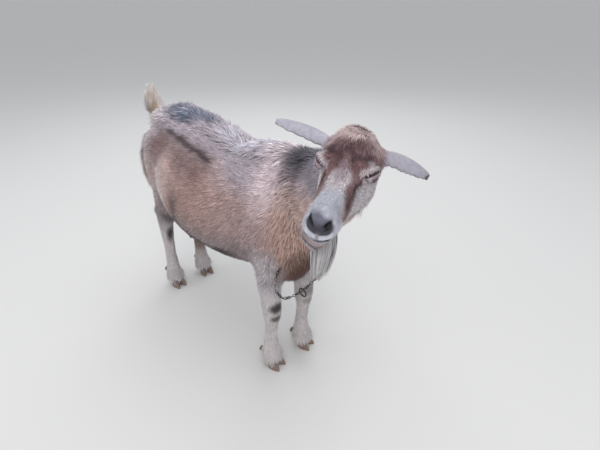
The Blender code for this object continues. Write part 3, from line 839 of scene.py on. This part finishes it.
def scatter(corners, spacing, rng):
    """Even random places on triangles: the triangle of each and its weights of the three corners."""
    spacing = spacing * COARSER
    area = np.linalg.norm(np.cross(corners[:, 1] - corners[:, 0], corners[:, 2] - corners[:, 0]), axis=1) / 2
    count = int(area.sum() / spacing**2 * 1.9)
    chosen = rng.choice(len(corners), count, p=area / area.sum())
    u, v = rng.random((2, count))
    flip = u + v > 1
    u, v = np.where(flip, 1 - u, u), np.where(flip, 1 - v, v)
    weights = np.column_stack([1 - u - v, u, v])
    places = (corners[chosen] * weights[:, :, None]).sum(axis=1)
    cells = np.floor(places / (spacing * 1.12)).astype(int)
    kept = np.sort(np.unique(cells, axis=0, return_index=True)[1])
    return chosen[kept], weights[kept]


def unwrap(obj):
    bpy.ops.object.select_all(action="DESELECT")
    bpy.context.view_layer.objects.active = obj
    obj.select_set(True)
    bpy.ops.object.mode_set(mode="EDIT")
    bpy.ops.mesh.select_all(action="SELECT")
    bpy.ops.uv.smart_project(angle_limit=math.radians(66), island_margin=0.004)
    bpy.ops.object.mode_set(mode="OBJECT")


def unwrapped(points, triangles):
    """Texture places of each triangle's corners, from unwrapping this stretch of skin on its own."""
    used, index = np.unique(triangles, return_inverse=True)
    mesh = bare_mesh("unwrap", points[used], index.reshape(-1, 3))
    obj = new_object("unwrap", mesh)
    mesh.uv_layers.new(name="OFBake")
    unwrap(obj)
    uv = read(mesh.uv_layers["OFBake"].data, "uv", 2)
    bpy.data.objects.remove(obj)
    bpy.data.meshes.remove(mesh)
    return uv.reshape(-1, 3, 2).astype(float)


def tufts(name, lines, across, out, widths, colours, uv, seeds):
    """Closed pointed tufts, each a three-sided blade along lines[:, ring], with its tip as the last point."""
    count, points_along = lines.shape[:2]
    rings = points_along - 1
    per = 3 * rings + 1
    points = np.empty((count, per, 3))
    along, flat = np.empty((count, per)), np.empty((count, per))
    for ring in range(rings):
        t = ring / rings
        width = widths * (1.0 - 0.45 * t)
        for corner, (side, lift) in enumerate(TUFT_CORNERS):
            k = 3 * ring + corner
            points[:, k] = lines[:, ring] + across * (side * width)[:, None] + out * (lift * width)[:, None]
            along[:, k], flat[:, k] = t, side
    points[:, -1], along[:, -1], flat[:, -1] = lines[:, -1], 1.0, 0.0
    grain = np.stack([flat, along, np.broadcast_to(seeds[:, None], flat.shape)], axis=2)
    shape = [
        (3 * ring + k, 3 * ring + (k + 1) % 3, 3 * ring + (k + 1) % 3 + 3, 3 * ring + k + 3)
        for ring in range(rings - 1)
        for k in range(3)
    ]
    last = 3 * (rings - 1)
    shape += [(last + k, last + (k + 1) % 3, per - 1) for k in range(3)]
    shape.append((2, 1, 0))
    loops = np.array([index for face in shape for index in face])
    starts = np.cumsum([0] + [len(face) for face in shape[:-1]])
    mesh = bpy.data.meshes.new(name)
    mesh.vertices.add(count * per)
    mesh.vertices.foreach_set("co", points.astype(np.float32).ravel())
    all_loops = (loops[None, :] + (np.arange(count) * per)[:, None]).ravel()
    mesh.loops.add(len(all_loops))
    mesh.loops.foreach_set("vertex_index", all_loops.astype(np.int32))
    all_starts = (starts[None, :] + (np.arange(count) * len(loops))[:, None]).ravel()
    mesh.polygons.add(len(all_starts))
    mesh.polygons.foreach_set("loop_start", all_starts.astype(np.int32))
    mesh.update(calc_edges=True)
    shade_smooth(mesh)
    patch = np.stack([flat * 2 * PATCH, (along - 0.5) * 2 * PATCH], axis=2) + uv[:, None, :]
    layer = mesh.uv_layers.new(name="OFBake")
    layer.data.foreach_set("uv", patch.reshape(-1, 2)[all_loops].astype(np.float32).ravel())
    store(mesh, "coat", "FLOAT_COLOR", np.repeat(colours, per, axis=0))
    store(mesh, "along", "FLOAT", along.ravel())
    store(mesh, "strand", "FLOAT_VECTOR", grain.reshape(-1, 3))
    shading = unit(tuft_lean(lines, across, out, along, flat))[:, loops]
    undersides = np.repeat([face[0] % 3 == 0 for face in shape], [len(face) for face in shape])
    shading[:, undersides] = -out[:, None, :]
    mesh.normals_split_custom_set(shading.reshape(-1, 3).astype(np.float32))
    return new_object(name, mesh)


def tuft_lean(lines, across, out, along, flat):
    """The shading normals of tufts: those of the skin, rounded over each blade, leaning tipward and a bit up."""
    tipward = unit(lines[:, -1] - lines[:, 0])[:, None, :]
    lean = out[:, None, :] + 0.55 * flat[:, :, None] * across[:, None, :]
    return lean + (0.10 * along)[:, :, None] * tipward + [0, 0, 0.15]


class Skin:
    """What the coat needs to know of the skin at each vertex."""

    def __init__(self, obj, net, label):
        self.points = read_points(obj.data)
        self.normals = read_normals(obj.data)
        self.triangles = read_triangles(obj.data)
        self.label = label
        groups = {name: (name,) for name in ("trunk", "neck")}
        groups |= {"head": ("head", *EYES), "tail": ("tail",), "udder": ("udder",), "legs": (*LEGS, *HORN)}
        groups |= {ear: (ear,) for ear in EARS}
        own = np.column_stack([self.near(*names) for names in groups.values()])
        spread = net.spread(own.astype(float), 10)
        spread /= spread.sum(axis=1, keepdims=True)
        self.share = dict(zip(groups, spread.T))
        self.colours = skin_colours(self.points, self.normals, self.share)
        lay = lay_directions(self.points, self.normals, self.share)
        self.lay = along_skin(net.spread(lay, 14), self.normals)
        self.lengths = hair_lengths(self.points, self.share)
        ridge = step(0.55, 0.575, self.points[:, 2]) * self.share["trunk"]
        muzzle = step(-0.045, -0.070, to_head(self.points)[:, 1]) * self.share["head"]
        self.mottle = 1 + 0.8 * ridge - 0.55 * muzzle
        self.depth = net.spread(depth_by_node(label)[:, None], 24)[:, 0]
        self.depth += 0.0045 * self.share["legs"] * step(0.062, 0.046, self.points[:, 2])

    def near(self, *names):
        """The vertices nearest to these CAD nodes."""
        return np.isin(self.label, [NAMES.index(name) for name in names])

    def where(self, *names):
        """The triangles nearest to these CAD nodes."""
        return self.near(*names)[self.triangles].sum(axis=1) >= 2


def grizzle(colours, rng, amount):
    """Each tuft a little lighter or darker."""
    factor = np.exp(rng.normal(0, amount, len(colours)))
    return np.clip(colours * factor[:, None], 0, 1)


def coat_piece(
    name, skin, faces, seed, mix, spacing=0.0019, width=0.0020, stiff=0.75, messy=0.22, rings=1, longer=1.0
):
    """One joined mesh of tufts over the chosen triangles of the skin."""
    rng = np.random.default_rng(seed)
    triangles = skin.triangles[faces]
    chosen, weights = scatter(skin.points[triangles], spacing, rng)
    corners = triangles[chosen]

    def at_roots(values):
        picked = values[corners]
        return (picked * (weights[:, :, None] if picked.ndim == 3 else weights)).sum(axis=1)

    roots, normals = at_roots(skin.points), unit(at_roots(skin.normals))
    lengths = at_roots(skin.lengths) * longer * rng.uniform(0.72, 1.22, len(roots))
    depth = at_roots(skin.depth)
    lay = along_skin(at_roots(skin.lay), normals)
    across = np.cross(normals, lay)
    swing = rng.normal(0, messy, len(roots))
    swing += 0.26 * wobble(roots, 0.035, seed + 1) + 0.12 * wobble(roots, 0.012, seed + 2)
    lay = lay * np.cos(swing)[:, None] + across * np.sin(swing)[:, None]
    across = np.cross(normals, lay)
    rise = np.minimum(depth * stiff * rng.uniform(0.55, 1.25, len(roots)), lengths * 0.75)
    sunk = roots - normals * (0.12 * depth + 0.0003)[:, None]
    middle = roots + lay * (0.42 * lengths)[:, None] + normals * (0.72 * rise)[:, None]
    tip = roots + lay * lengths[:, None] + normals * rise[:, None]
    lines = np.stack([sunk, tip] if rings == 1 else [sunk, middle, tip], axis=1)
    lines[:, 1:, 2] = np.maximum(lines[:, 1:, 2], OFF_FLOOR)
    patches = unwrapped(skin.points, triangles)[chosen]
    uv = (patches * weights[:, :, None]).sum(axis=1)
    widths = width * COARSER * rng.uniform(0.75, 1.25, len(roots))
    colours = grizzle(at_roots(skin.colours), rng, mix * at_roots(skin.mottle))
    return tufts(name, lines, across, normals, widths, colours, uv, rng.random(len(roots)) * SEEDS)


# ---------------------------------------------------------------- materials

MOST = (0.3, 0.7)  # most of a noise's values lie between these
HORN_TOE, HORN_WALL = srgb(134, 112, 98), srgb(112, 102, 100)
IRIS_DARK, IRIS_AMBER, EYE_RIM = srgb(44, 30, 20), srgb(84, 58, 32), srgb(60, 44, 42)
PUPIL = (0.004, 0.003, 0.004)
STEEL, RUSTY = srgb(104, 98, 100), srgb(58, 38, 32)


class Nodes:
    """Short words for building a material."""

    def __init__(self, name, **sockets):
        self.material = bpy.data.materials.new(name)
        self.material.use_nodes = True
        self.tree = self.material.node_tree
        self.shader = self.tree.nodes["Principled BSDF"]
        for key, value in sockets.items():
            self.shader.inputs[key.replace("_", " ")].default_value = value

    def add(self, kind, inputs, **settings):
        node = self.tree.nodes.new("ShaderNode" + kind)
        for key, value in settings.items():
            setattr(node, key, value)
        for key, value in inputs.items():
            if isinstance(value, bpy.types.NodeSocket):
                self.tree.links.new(value, node.inputs[key])
            else:
                node.inputs[key].default_value = value
        return node

    def attribute(self, name, output):
        return self.add("Attribute", {}, attribute_name=name).outputs[output]

    def place(self):
        return self.add("TexCoord", {}).outputs["Object"]

    def noise(self, vector, scale, detail=3.0, rough=0.6):
        inputs = {"Vector": vector, "Scale": scale, "Detail": detail, "Roughness": rough}
        return self.add("TexNoise", inputs).outputs["Fac"]

    def range(self, value, low, high, start=0.0, end=1.0):
        inputs = {"Value": value, "From Min": start, "From Max": end, "To Min": low, "To Max": high}
        return self.add("MapRange", inputs).outputs["Result"]

    def vector(self, operation, a, b, output="Vector"):
        return self.add("VectorMath", {0: a, 1: b}, operation=operation).outputs[output]

    def scaled(self, colour, factor):
        """A colour times a plain number."""
        return self.add("VectorMath", {0: colour, "Scale": factor}, operation="SCALE").outputs["Vector"]

    def times(self, a, b):
        return self.add("Math", {0: a, 1: b}, operation="MULTIPLY").outputs["Value"]

    def mix(self, factor, a, b):
        """Between two colours, each a socket or three numbers."""
        a, b = (c if isinstance(c, bpy.types.NodeSocket) else (*c, 1) for c in (a, b))
        return self.add("Mix", {0: factor, 6: a, 7: b}, data_type="RGBA").outputs[2]

    def to(self, socket, value):
        self.tree.links.new(value, self.shader.inputs[socket])

    def bump(self, height, distance, strength):
        node = self.add("Bump", {"Height": height, "Distance": distance, "Strength": strength})
        self.to("Normal", node.outputs["Normal"])


def coat_material(name, roughness=0.78, root=0.62):
    """Hair: the root's colour, darker low in the coat as painted shade, streaked along each tuft as if by finer
    hairs.
    """
    nodes = Nodes(name, Roughness=roughness, Specular_IOR_Level=0.28, Sheen_Weight=0.12, Sheen_Roughness=0.5)
    stretched = nodes.vector("MULTIPLY", nodes.attribute("strand", "Vector"), (7.0, 0.9, 1.0))
    hairs = nodes.noise(stretched, 1.0, 2.0)
    # painted shade: each tuft is darker towards its root
    lit = nodes.range(nodes.attribute("along", "Fac"), root, 1.10)
    shade = nodes.times(nodes.range(hairs, 0.72, 1.28, *MOST), lit)
    patchy = nodes.range(nodes.noise(nodes.place(), 55.0), 0.90, 1.10, *MOST)
    nodes.to("Base Color", nodes.scaled(nodes.attribute("coat", "Color"), nodes.times(shade, patchy)))
    nodes.bump(hairs, 0.0006, 0.5)
    return nodes.material


def skin_material():
    """Skin under the coat, with the same markings, and bare damp nose, lips and lids."""
    nodes = Nodes("skin", Specular_IOR_Level=0.28, Subsurface_Weight=0.04, Subsurface_Scale=0.004)
    fine = nodes.noise(nodes.place(), 900.0, 4.0, 0.7)
    broad = nodes.noise(nodes.place(), 120.0, 3.0)
    bare = nodes.attribute("bare", "Fac")
    shade = nodes.times(nodes.range(broad, 0.86, 1.12, *MOST), nodes.range(fine, 0.90, 1.08, *MOST))
    shade = nodes.times(shade, nodes.range(bare, 0.80, 1.0))
    nodes.to("Base Color", nodes.scaled(nodes.attribute("coat", "Color"), shade))
    nodes.to("Roughness", nodes.range(bare, 0.85, 0.52))
    nodes.bump(fine, 0.0006, 0.5)
    return nodes.material


def horn_material():
    """Grey and tan hoof horn with fine growth rings and scuffed toes."""
    nodes = Nodes("hoof_horn", Specular_IOR_Level=0.4)
    place = nodes.place()
    waves = {"Vector": place, "Scale": 95.0, "Distortion": 3.0, "Detail": 2.0, "Detail Scale": 3.0}
    rings = nodes.add("TexWave", waves, bands_direction="Z", wave_profile="SIN").outputs["Fac"]
    streaks = nodes.noise(nodes.vector("MULTIPLY", place, (420.0, 420.0, 60.0)), 1.0, 3.0)
    height = nodes.add("SeparateXYZ", {0: place}).outputs["Z"]
    base = nodes.mix(nodes.range(height, 0.0, 1.0, 0.003, 0.020), HORN_TOE, HORN_WALL)
    tone = nodes.times(nodes.range(rings, 0.80, 1.12), nodes.range(streaks, 0.75, 1.25, *MOST))
    nodes.to("Base Color", nodes.scaled(base, tone))
    nodes.to("Roughness", nodes.range(streaks, 0.42, 0.66, *MOST))
    nodes.bump(rings, 0.0005, 0.6)
    return nodes.material


def eye_material(eye):
    """A dark amber goat's eye with a level slot of a pupil, wet all over."""
    side = 1 if eye == "eye_left" else -1
    nodes = Nodes(eye, Roughness=0.06, Specular_IOR_Level=0.6, Coat_Weight=0.6, Coat_Roughness=0.03)
    offset = nodes.vector("SUBTRACT", nodes.place(), sum(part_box(eye), Vector()) / 2)
    fibres = nodes.noise(offset, 900.0, 3.0)
    gaze = HEAD_TURN @ unit(np.array([side * 0.80, -0.45, 0.30]))
    toward = nodes.vector("DOT_PRODUCT", offset, tuple(gaze), "Value")
    upward = nodes.vector("DOT_PRODUCT", offset, tuple(HEAD_TURN[:, 2]), "Value")
    iris = nodes.mix(nodes.range(fibres, 0.0, 1.0, *MOST), IRIS_DARK, IRIS_AMBER)
    from_level = nodes.add("Math", {0: upward}, operation="ABSOLUTE").outputs["Value"]
    seen = nodes.mix(nodes.range(from_level, 1.0, 0.0, 0.0012, 0.0018), iris, PUPIL)
    nodes.to("Base Color", nodes.mix(nodes.range(toward, 0.0, 1.0, 0.0085, 0.0092), EYE_RIM, seen))
    return nodes.material


def metal_material():
    """Dull steel chain, dark with use and rust in the hollows."""
    nodes = Nodes("collar_metal", Metallic=0.9)
    grime = nodes.noise(nodes.place(), 260.0, 4.0, 0.65)
    nodes.to("Base Color", nodes.mix(nodes.range(grime, 0.0, 1.0, 0.42, 0.62), STEEL, RUSTY))
    nodes.to("Roughness", nodes.range(grime, 0.34, 0.70, 0.35, 0.65))
    nodes.bump(nodes.noise(nodes.place(), 900.0, 3.0), 0.0002, 0.6)
    return nodes.material


def floor_material():
    nodes = Nodes("floor", Roughness=0.9, Specular_IOR_Level=0.2)
    tone = nodes.range(nodes.noise(nodes.place(), 3.0, 2.0), 0.98, 1.02, *MOST)
    nodes.to("Base Color", nodes.mix(tone, (0.58, 0.58, 0.58), (0.60, 0.595, 0.585)))
    return nodes.material


# ---------------------------------------------------------------- pieces


def finish_skin(obj, skin):
    store(obj.data, "coat", "FLOAT_COLOR", skin.colours)
    local = to_head(skin.points)
    head = skin.share["head"]
    bare = step(-0.098, -0.110, local[:, 1]) * head
    for side in (1, -1):
        reach, _, above = eye_polar(local, side)
        lids = step(EYE_RADIUS + 0.005, EYE_RADIUS + 0.003, reach) * (np.abs(above) < 0.5)
        bare = np.maximum(bare, lids * head)
    bare = np.maximum(bare, 0.7 * skin.share["udder"])
    store(obj.data, "bare", "FLOAT", bare)
    obj.data.uv_layers.new(name="OFBake")
    unwrap(obj)
    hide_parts(*FLESH)
    dress(obj, skin_material())


def hairy_head(skin):
    """Triangles of the head that grow hair: not the nose pad, lips or lids' edges."""
    middles = to_head(skin.points[skin.triangles].mean(axis=1))
    x, y, z = middles.T
    rise = z - mouth_line(x)
    bald = (y < -0.106) & (np.abs(x) < 0.019) & (z > -0.036)
    bald |= (y < MUZZLE_BACK) & (rise > -0.009) & (rise < 0.0035) & (np.abs(x) < 0.028)
    for side in (1, -1):
        reach, along, above, half = about_slit(middles, side)
        edge = (np.abs(above) < half + 0.20) & (along > -0.12) & (along < 1.12)
        bald |= (reach < EYE_RADIUS + 0.006) & edge | (reach < EYE_RADIUS + 0.0005)
    return skin.where("head", *EYES) & ~bald


def fringed(skin):
    """Where longer hair stands out of the coat: the spine, the rump, the underline and over the collar."""
    x, y, z = skin.points[skin.triangles].mean(axis=1).T
    spine = (np.abs(x - SPINE_X) < 0.032) & (z > 0.53) & (y < 0.36)
    rump = (y > 0.36) & (z > 0.33)
    underline = (z < 0.285) & (y > -0.10) & (np.abs(x - SPINE_X) < 0.06)
    collar = (np.abs(y - COLLAR_Y) < 0.024) & (z > 0.33)
    return skin.where("trunk", "neck") & (spine | rump | underline | collar)


def coats(skin):
    """Every coat piece, with the record's slot that its look belongs to."""
    body = skin.where("trunk")
    middles = skin.points[skin.triangles].mean(axis=1)
    right, rear = middles[:, 0] < SPINE_X, middles[:, 1] > 0.10
    quarters = (right & ~rear, right & rear, ~right & ~rear, ~right & rear)
    words = ("front_right", "rear_right", "front_left", "rear_left")
    made = [
        (coat_piece(f"coat_{word}", skin, body & quarter, 100 + k, 0.27), "trunk_coat")
        for k, (word, quarter) in enumerate(zip(words, quarters))
    ]
    fringe = {"spacing": 0.0030, "width": 0.0024, "stiff": 1.5, "messy": 0.25, "rings": 2, "longer": 1.5}
    face = {"spacing": 0.00125, "width": 0.0013, "stiff": 0.9, "messy": 0.24}
    ear = {"spacing": 0.0016, "width": 0.0015, "stiff": 0.8, "messy": 0.18}
    plan = (
        ("neck", skin.where("neck"), 110, 0.28, {}),
        ("fringe", fringed(skin), 115, 0.20, fringe),
        ("head", hairy_head(skin), 120, 0.33, face),
        ("ears", skin.where(*EARS), 130, 0.08, ear),
        ("forelegs", skin.where(*LEGS[:2]), 140, 0.10, {"stiff": 0.9, "messy": 0.2}),
        ("hindlegs", skin.where(*LEGS[2:]), 150, 0.10, {"stiff": 0.9, "messy": 0.2}),
        ("tail", skin.where("tail"), 160, 0.08, {"width": 0.0019, "stiff": 1.2, "rings": 2}),
    )
    slots = {"fringe": "trunk_coat", "ears": "ear_coat", "forelegs": "leg_coat", "hindlegs": "leg_coat"}
    for word, faces, seed, mix, look in plan:
        piece = coat_piece(f"coat_{word}", skin, faces, seed, mix, **look)
        made.append((piece, slots.get(word, f"{word}_coat")))
    return made


BEARD_LOCKS, BEARD_RINGS, BEARD_WIDTH = 900, 5, 0.0023
BEARD_SUNK = 0.006  # how far the locks start inside the chin
BEARD_DRIFT = np.array([-0.008, 0.007])  # how far they hang aside at the end


def beard():
    """Straight white locks that hang from the chin to a ragged end."""
    rng = np.random.default_rng(170)
    low, high = box("beard")
    centre, half = ((low + high) / 2)[:2], (high - low)[:2] / 2
    turn, reach = rng.uniform(0, 2 * math.pi, BEARD_LOCKS), np.sqrt(rng.random(BEARD_LOCKS))
    disc = np.column_stack([np.cos(turn) * reach, np.sin(turn) * reach])
    drop = (high[2] - low[2]) * rng.uniform(0.62, 1.0, BEARD_LOCKS) * (1 - 0.16 * reach)
    lines = np.empty((BEARD_LOCKS, BEARD_RINGS + 1, 3))
    sway = rng.normal(0, 0.0016, (BEARD_LOCKS, 2))
    for ring in range(BEARD_RINGS + 1):
        t = ring / BEARD_RINGS
        spread = 0.80 + 0.20 * math.sin(math.pi * min(t * 1.3, 1)) - 0.10 * t**2
        lines[:, ring, :2] = centre + disc * half * spread + BEARD_DRIFT * t + sway * math.sin(2.6 * t)
        lines[:, ring, 2] = high[2] + BEARD_SUNK - (drop + BEARD_SUNK) * t
    outward = unit(rows(BEARD_LOCKS, *(disc + 1e-4).T, 0.15))
    across = unit(np.cross(outward, [0, 0, -1.0]))
    colours = grizzle(np.tile(BEARD_WHITE, (BEARD_LOCKS, 1)), rng, 0.22)
    uv = np.column_stack([0.05 + 0.9 * turn / (2 * math.pi), 0.05 + 0.9 * reach])
    widths = np.full(BEARD_LOCKS, BEARD_WIDTH)
    piece = tufts("coat_beard", lines, across, outward, widths, colours, uv, rng.random(BEARD_LOCKS) * SEEDS)
    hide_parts("beard")
    return piece


LASHES, LASH_LENGTH, LASH_WIDTH = 26, 0.0065, 0.0006
LASH_BOW = 0.0006  # how far a lash's middle hangs below the straight line to its tip


def lashes():
    """Fine lashes along each upper lid."""
    rng = np.random.default_rng(180)
    roots, tips, ups = [], [], []
    inner, outer = unit(SLIT_INNER), unit(SLIT_OUTER)
    pole = unit(np.cross(inner, outer))
    for side in (1, -1):
        for t in np.linspace(0.12, 0.95, LASHES):
            way = unit(inner * (1 - t) + outer * t)
            lifted = unit(way + pole * (0.16 + 0.10 * math.sin(math.pi * t)))
            root = np.array(EYE_IN_HEAD) + lifted * (EYE_RADIUS + 0.0010)
            reach = LASH_LENGTH * rng.uniform(0.7, 1.1)
            tip = root + unit(way - 0.45 * pole + rng.normal(0, 0.08, 3)) * reach
            roots.append(root * [side, 1, 1])
            tips.append(tip * [side, 1, 1])
            ups.append(lifted * [side, 1, 1])
    roots, tips, ups = from_head(np.array(roots)), from_head(np.array(tips)), np.array(ups) @ HEAD_TURN.T
    count = len(roots)
    lines = np.stack([roots, (roots + tips) / 2 - LASH_BOW * ups, tips], axis=1)
    across = unit(np.cross(ups, tips - roots))
    colours = np.tile(LASH_BROWN, (count, 1))
    uv = rows(count, np.linspace(0.1, 0.9, count), 0.5)
    return tufts("lashes", lines, across, ups, np.full(count, LASH_WIDTH), colours, uv, rng.random(count))


RING_PITCH, RING_HEIGHT, HORN_SWELLS = 0.0032, 0.00022, 0.0004


def horn_piece(node):
    """A hoof or dewclaw with a finer surface than its solid and shallow growth rings."""
    obj = rounded(node, f"{node}_horn")
    points, normals = read_points(obj.data), read_normals(obj.data)
    ringed = RING_HEIGHT * np.sin(points[:, 2] / RING_PITCH * 2 * math.pi + 2 * wobble(points, 0.03, 7))
    upright = np.sqrt(np.clip(1 - normals[:, 2] ** 2, 0, 1))
    points += normals * (HORN_SWELLS + ringed * upright)[:, None]
    points[:, 2] = np.maximum(points[:, 2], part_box(node)[0].z)
    write_points(obj.data, points)
    return obj


LINK_PITCH, LINK_WIRE, LINK_WIDTH = 0.0074, 0.0009, 0.0027
LINK_LENGTH = 0.68 * LINK_PITCH  # like the width, from the link's middle to its wire
CHAIN_LIFT = 0.0008  # the chain's middle above the skin where it lies in the coat


def centreline(node, count=160):
    """The middle line of a closed ring solid, as points round it."""
    points, _ = welded(NODES[node])
    centre = points.mean(axis=0)
    _, _, axes = np.linalg.svd(points - centre, full_matrices=False)
    u, v = (points - centre) @ axes[0], (points - centre) @ axes[1]
    turn = np.arctan2(v, u)
    line = []
    for angle in np.linspace(-math.pi, math.pi, count, endpoint=False):
        gap = np.abs((turn - angle + math.pi) % (2 * math.pi) - math.pi)
        weight = hump(gap, 0.09)
        line.append((points * weight[:, None]).sum(axis=0) / weight.sum())
    return np.array(line)


def link(centre, along, side, steps=20, around=8):
    """Points and faces of one oval link: a rounded loop in the plane of along and side."""
    out = unit(np.cross(along, side))
    points = []
    for k in range(steps):
        turn = 2 * math.pi * k / steps
        c, s = math.cos(turn), math.sin(turn)
        squared = 1 / (abs(c) ** 3 + abs(s) ** 3) ** (1 / 3)
        middle = centre + along * LINK_LENGTH * c * squared + side * LINK_WIDTH * s * squared
        outward = unit(along * c * LINK_WIDTH + side * s * LINK_LENGTH)
        for j in range(around):
            tilt = 2 * math.pi * j / around
            points.append(middle + LINK_WIRE * (outward * math.cos(tilt) + out * math.sin(tilt)))
    faces = []
    for k in range(steps):
        a, b = k * around, (k + 1) % steps * around
        faces += [(a + j, b + j, b + (j + 1) % around, a + (j + 1) % around) for j in range(around)]
    return points, faces


def closed_line(line):
    return np.vstack([line, line[:1]])


def chain(skin):
    """Small oval links, each turned a quarter to the next, along the collar's line."""
    line = centreline("collar")
    surface = tree_of(skin.points, skin.triangles)
    lengths = np.concatenate([[0], np.cumsum(np.linalg.norm(np.diff(closed_line(line), axis=0), axis=1))])
    count = 2 * round(lengths[-1] / LINK_PITCH / 2)
    middle = line.mean(axis=0)
    lowest = line[:, 2].min()
    snug = step(lowest + 0.018, lowest + 0.046, line[:, 2])
    for k, place in enumerate(line):
        near, normal, _, _ = surface.find_nearest(Vector(place))
        line[k] += snug[k] * (np.array(near + normal * CHAIN_LIFT) - place)
    line = closed_line(sum(np.roll(line, shift, axis=0) for shift in (-2, -1, 0, 1, 2)) / 5)

    def place_at(distance):
        return np.array([np.interp(distance, lengths, line[:, axis]) for axis in range(3)])

    points, faces = [], []
    for k in range(count):
        at = lengths[-1] * k / count
        place = place_at(at)
        along = unit(place_at((at + 0.002) % lengths[-1]) - place)
        outward = unit(np.cross(along, np.cross(place - middle, along)))
        flat = unit(np.cross(along, outward))
        tilt = math.pi / 4 + (math.pi / 2) * (k % 2)
        some, quads = link(place, along, outward * math.sin(tilt) + flat * math.cos(tilt))
        faces += [tuple(index + len(points) for index in quad) for quad in quads]
        points += some
    obj = new_object("collar_chain", bare_mesh("collar_chain", points, faces))
    shade_smooth(obj.data)
    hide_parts("collar")
    return obj


def dress(obj, material):
    obj.data.materials.clear()
    obj.data.materials.append(material)
    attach(obj, "root")


def build_goat():
    obj, net, label = build_skin()
    skin = Skin(obj, net, label)
    finish_skin(obj, skin)
    hair = coat_material("coat")
    for piece, slot in coats(skin):
        dress(piece, hair)
    dress(beard(), coat_material("beard", 0.6, 0.86))
    dress(lashes(), coat_material("lashes", 0.5, 0.9))
    horn = horn_material()
    for node in HORN:
        dress(horn_piece(node), horn)
    metal = metal_material()
    dress(chain(skin), metal)
    dress(rounded("collar_clasp", "collar_ring"), metal)
    for eye in EYES:
        mesh = NODES[eye].data
        mesh.materials.clear()
        mesh.materials.append(eye_material(eye))
        shade_smooth(mesh)


# ---------------------------------------------------------------- the studio

CAMERA_AT = Vector((-0.565, -0.8167, 0.88))
CAMERA_PITCH, CAMERA_YAW = math.radians(90 - 28.0), math.radians(-43.3)
LENS, SENSOR = 27.0, 36.0  # millimetres
FLOOR_REACH = 60.0
LIGHTS_AIM = Vector((0, 0, 0.35))
LIGHTS = (  # name, place, width, power and colour
    ("key", (-1.5, -1.7, 2.6), 2.4, 44, (1.0, 0.985, 0.97)),
    ("top", (0.2, 0.3, 3.0), 3.0, 34, (0.97, 0.985, 1.0)),
    ("rim", (1.7, 1.6, 2.0), 2.0, 14, (1.0, 1.0, 1.0)),
    ("side", (-2.2, 1.5, 1.6), 2.2, 5, (1.0, 1.0, 1.0)),
)
SKY_COLOUR, SKY_STRENGTH = (0.86, 0.88, 0.92, 1), 0.80


def studio():
    """A pale floor, a big soft light in front, one above, weaker ones behind and beside, and an even sky."""
    mesh = bare_mesh("floor", [(-1, -1, 0), (1, -1, 0), (1, 1, 0), (-1, 1, 0)], [(0, 1, 2, 3)])
    mesh.transform(Matrix.Scale(FLOOR_REACH, 4))
    floor = new_object("floor", mesh)
    mesh.materials.append(floor_material())
    for name, place, size, power, colour in LIGHTS:
        light = bpy.data.lights.new(name, "AREA")
        light.shape, light.size, light.energy, light.color = "DISK", size, power, colour
        lamp = new_object(name, light)
        lamp.location = place
        lamp.rotation_euler = (LIGHTS_AIM - Vector(place)).to_track_quat("-Z", "Y").to_euler()
    world = bpy.data.worlds.new("studio")
    world.use_nodes = True
    sky = world.node_tree.nodes["Background"].inputs
    sky["Color"].default_value = SKY_COLOUR
    sky["Strength"].default_value = SKY_STRENGTH
    bpy.context.scene.world = world
    bpy.context.scene.view_settings.view_transform = "Standard"


def camera():
    data = bpy.data.cameras.new("camera")
    data.lens, data.sensor_width = LENS, SENSOR
    data.clip_end = 200
    obj = new_object("camera", data)
    obj.location = CAMERA_AT
    obj.rotation_euler = (CAMERA_PITCH, 0, CAMERA_YAW)
    bpy.context.scene.camera = obj


camera()
build_goat()
studio()
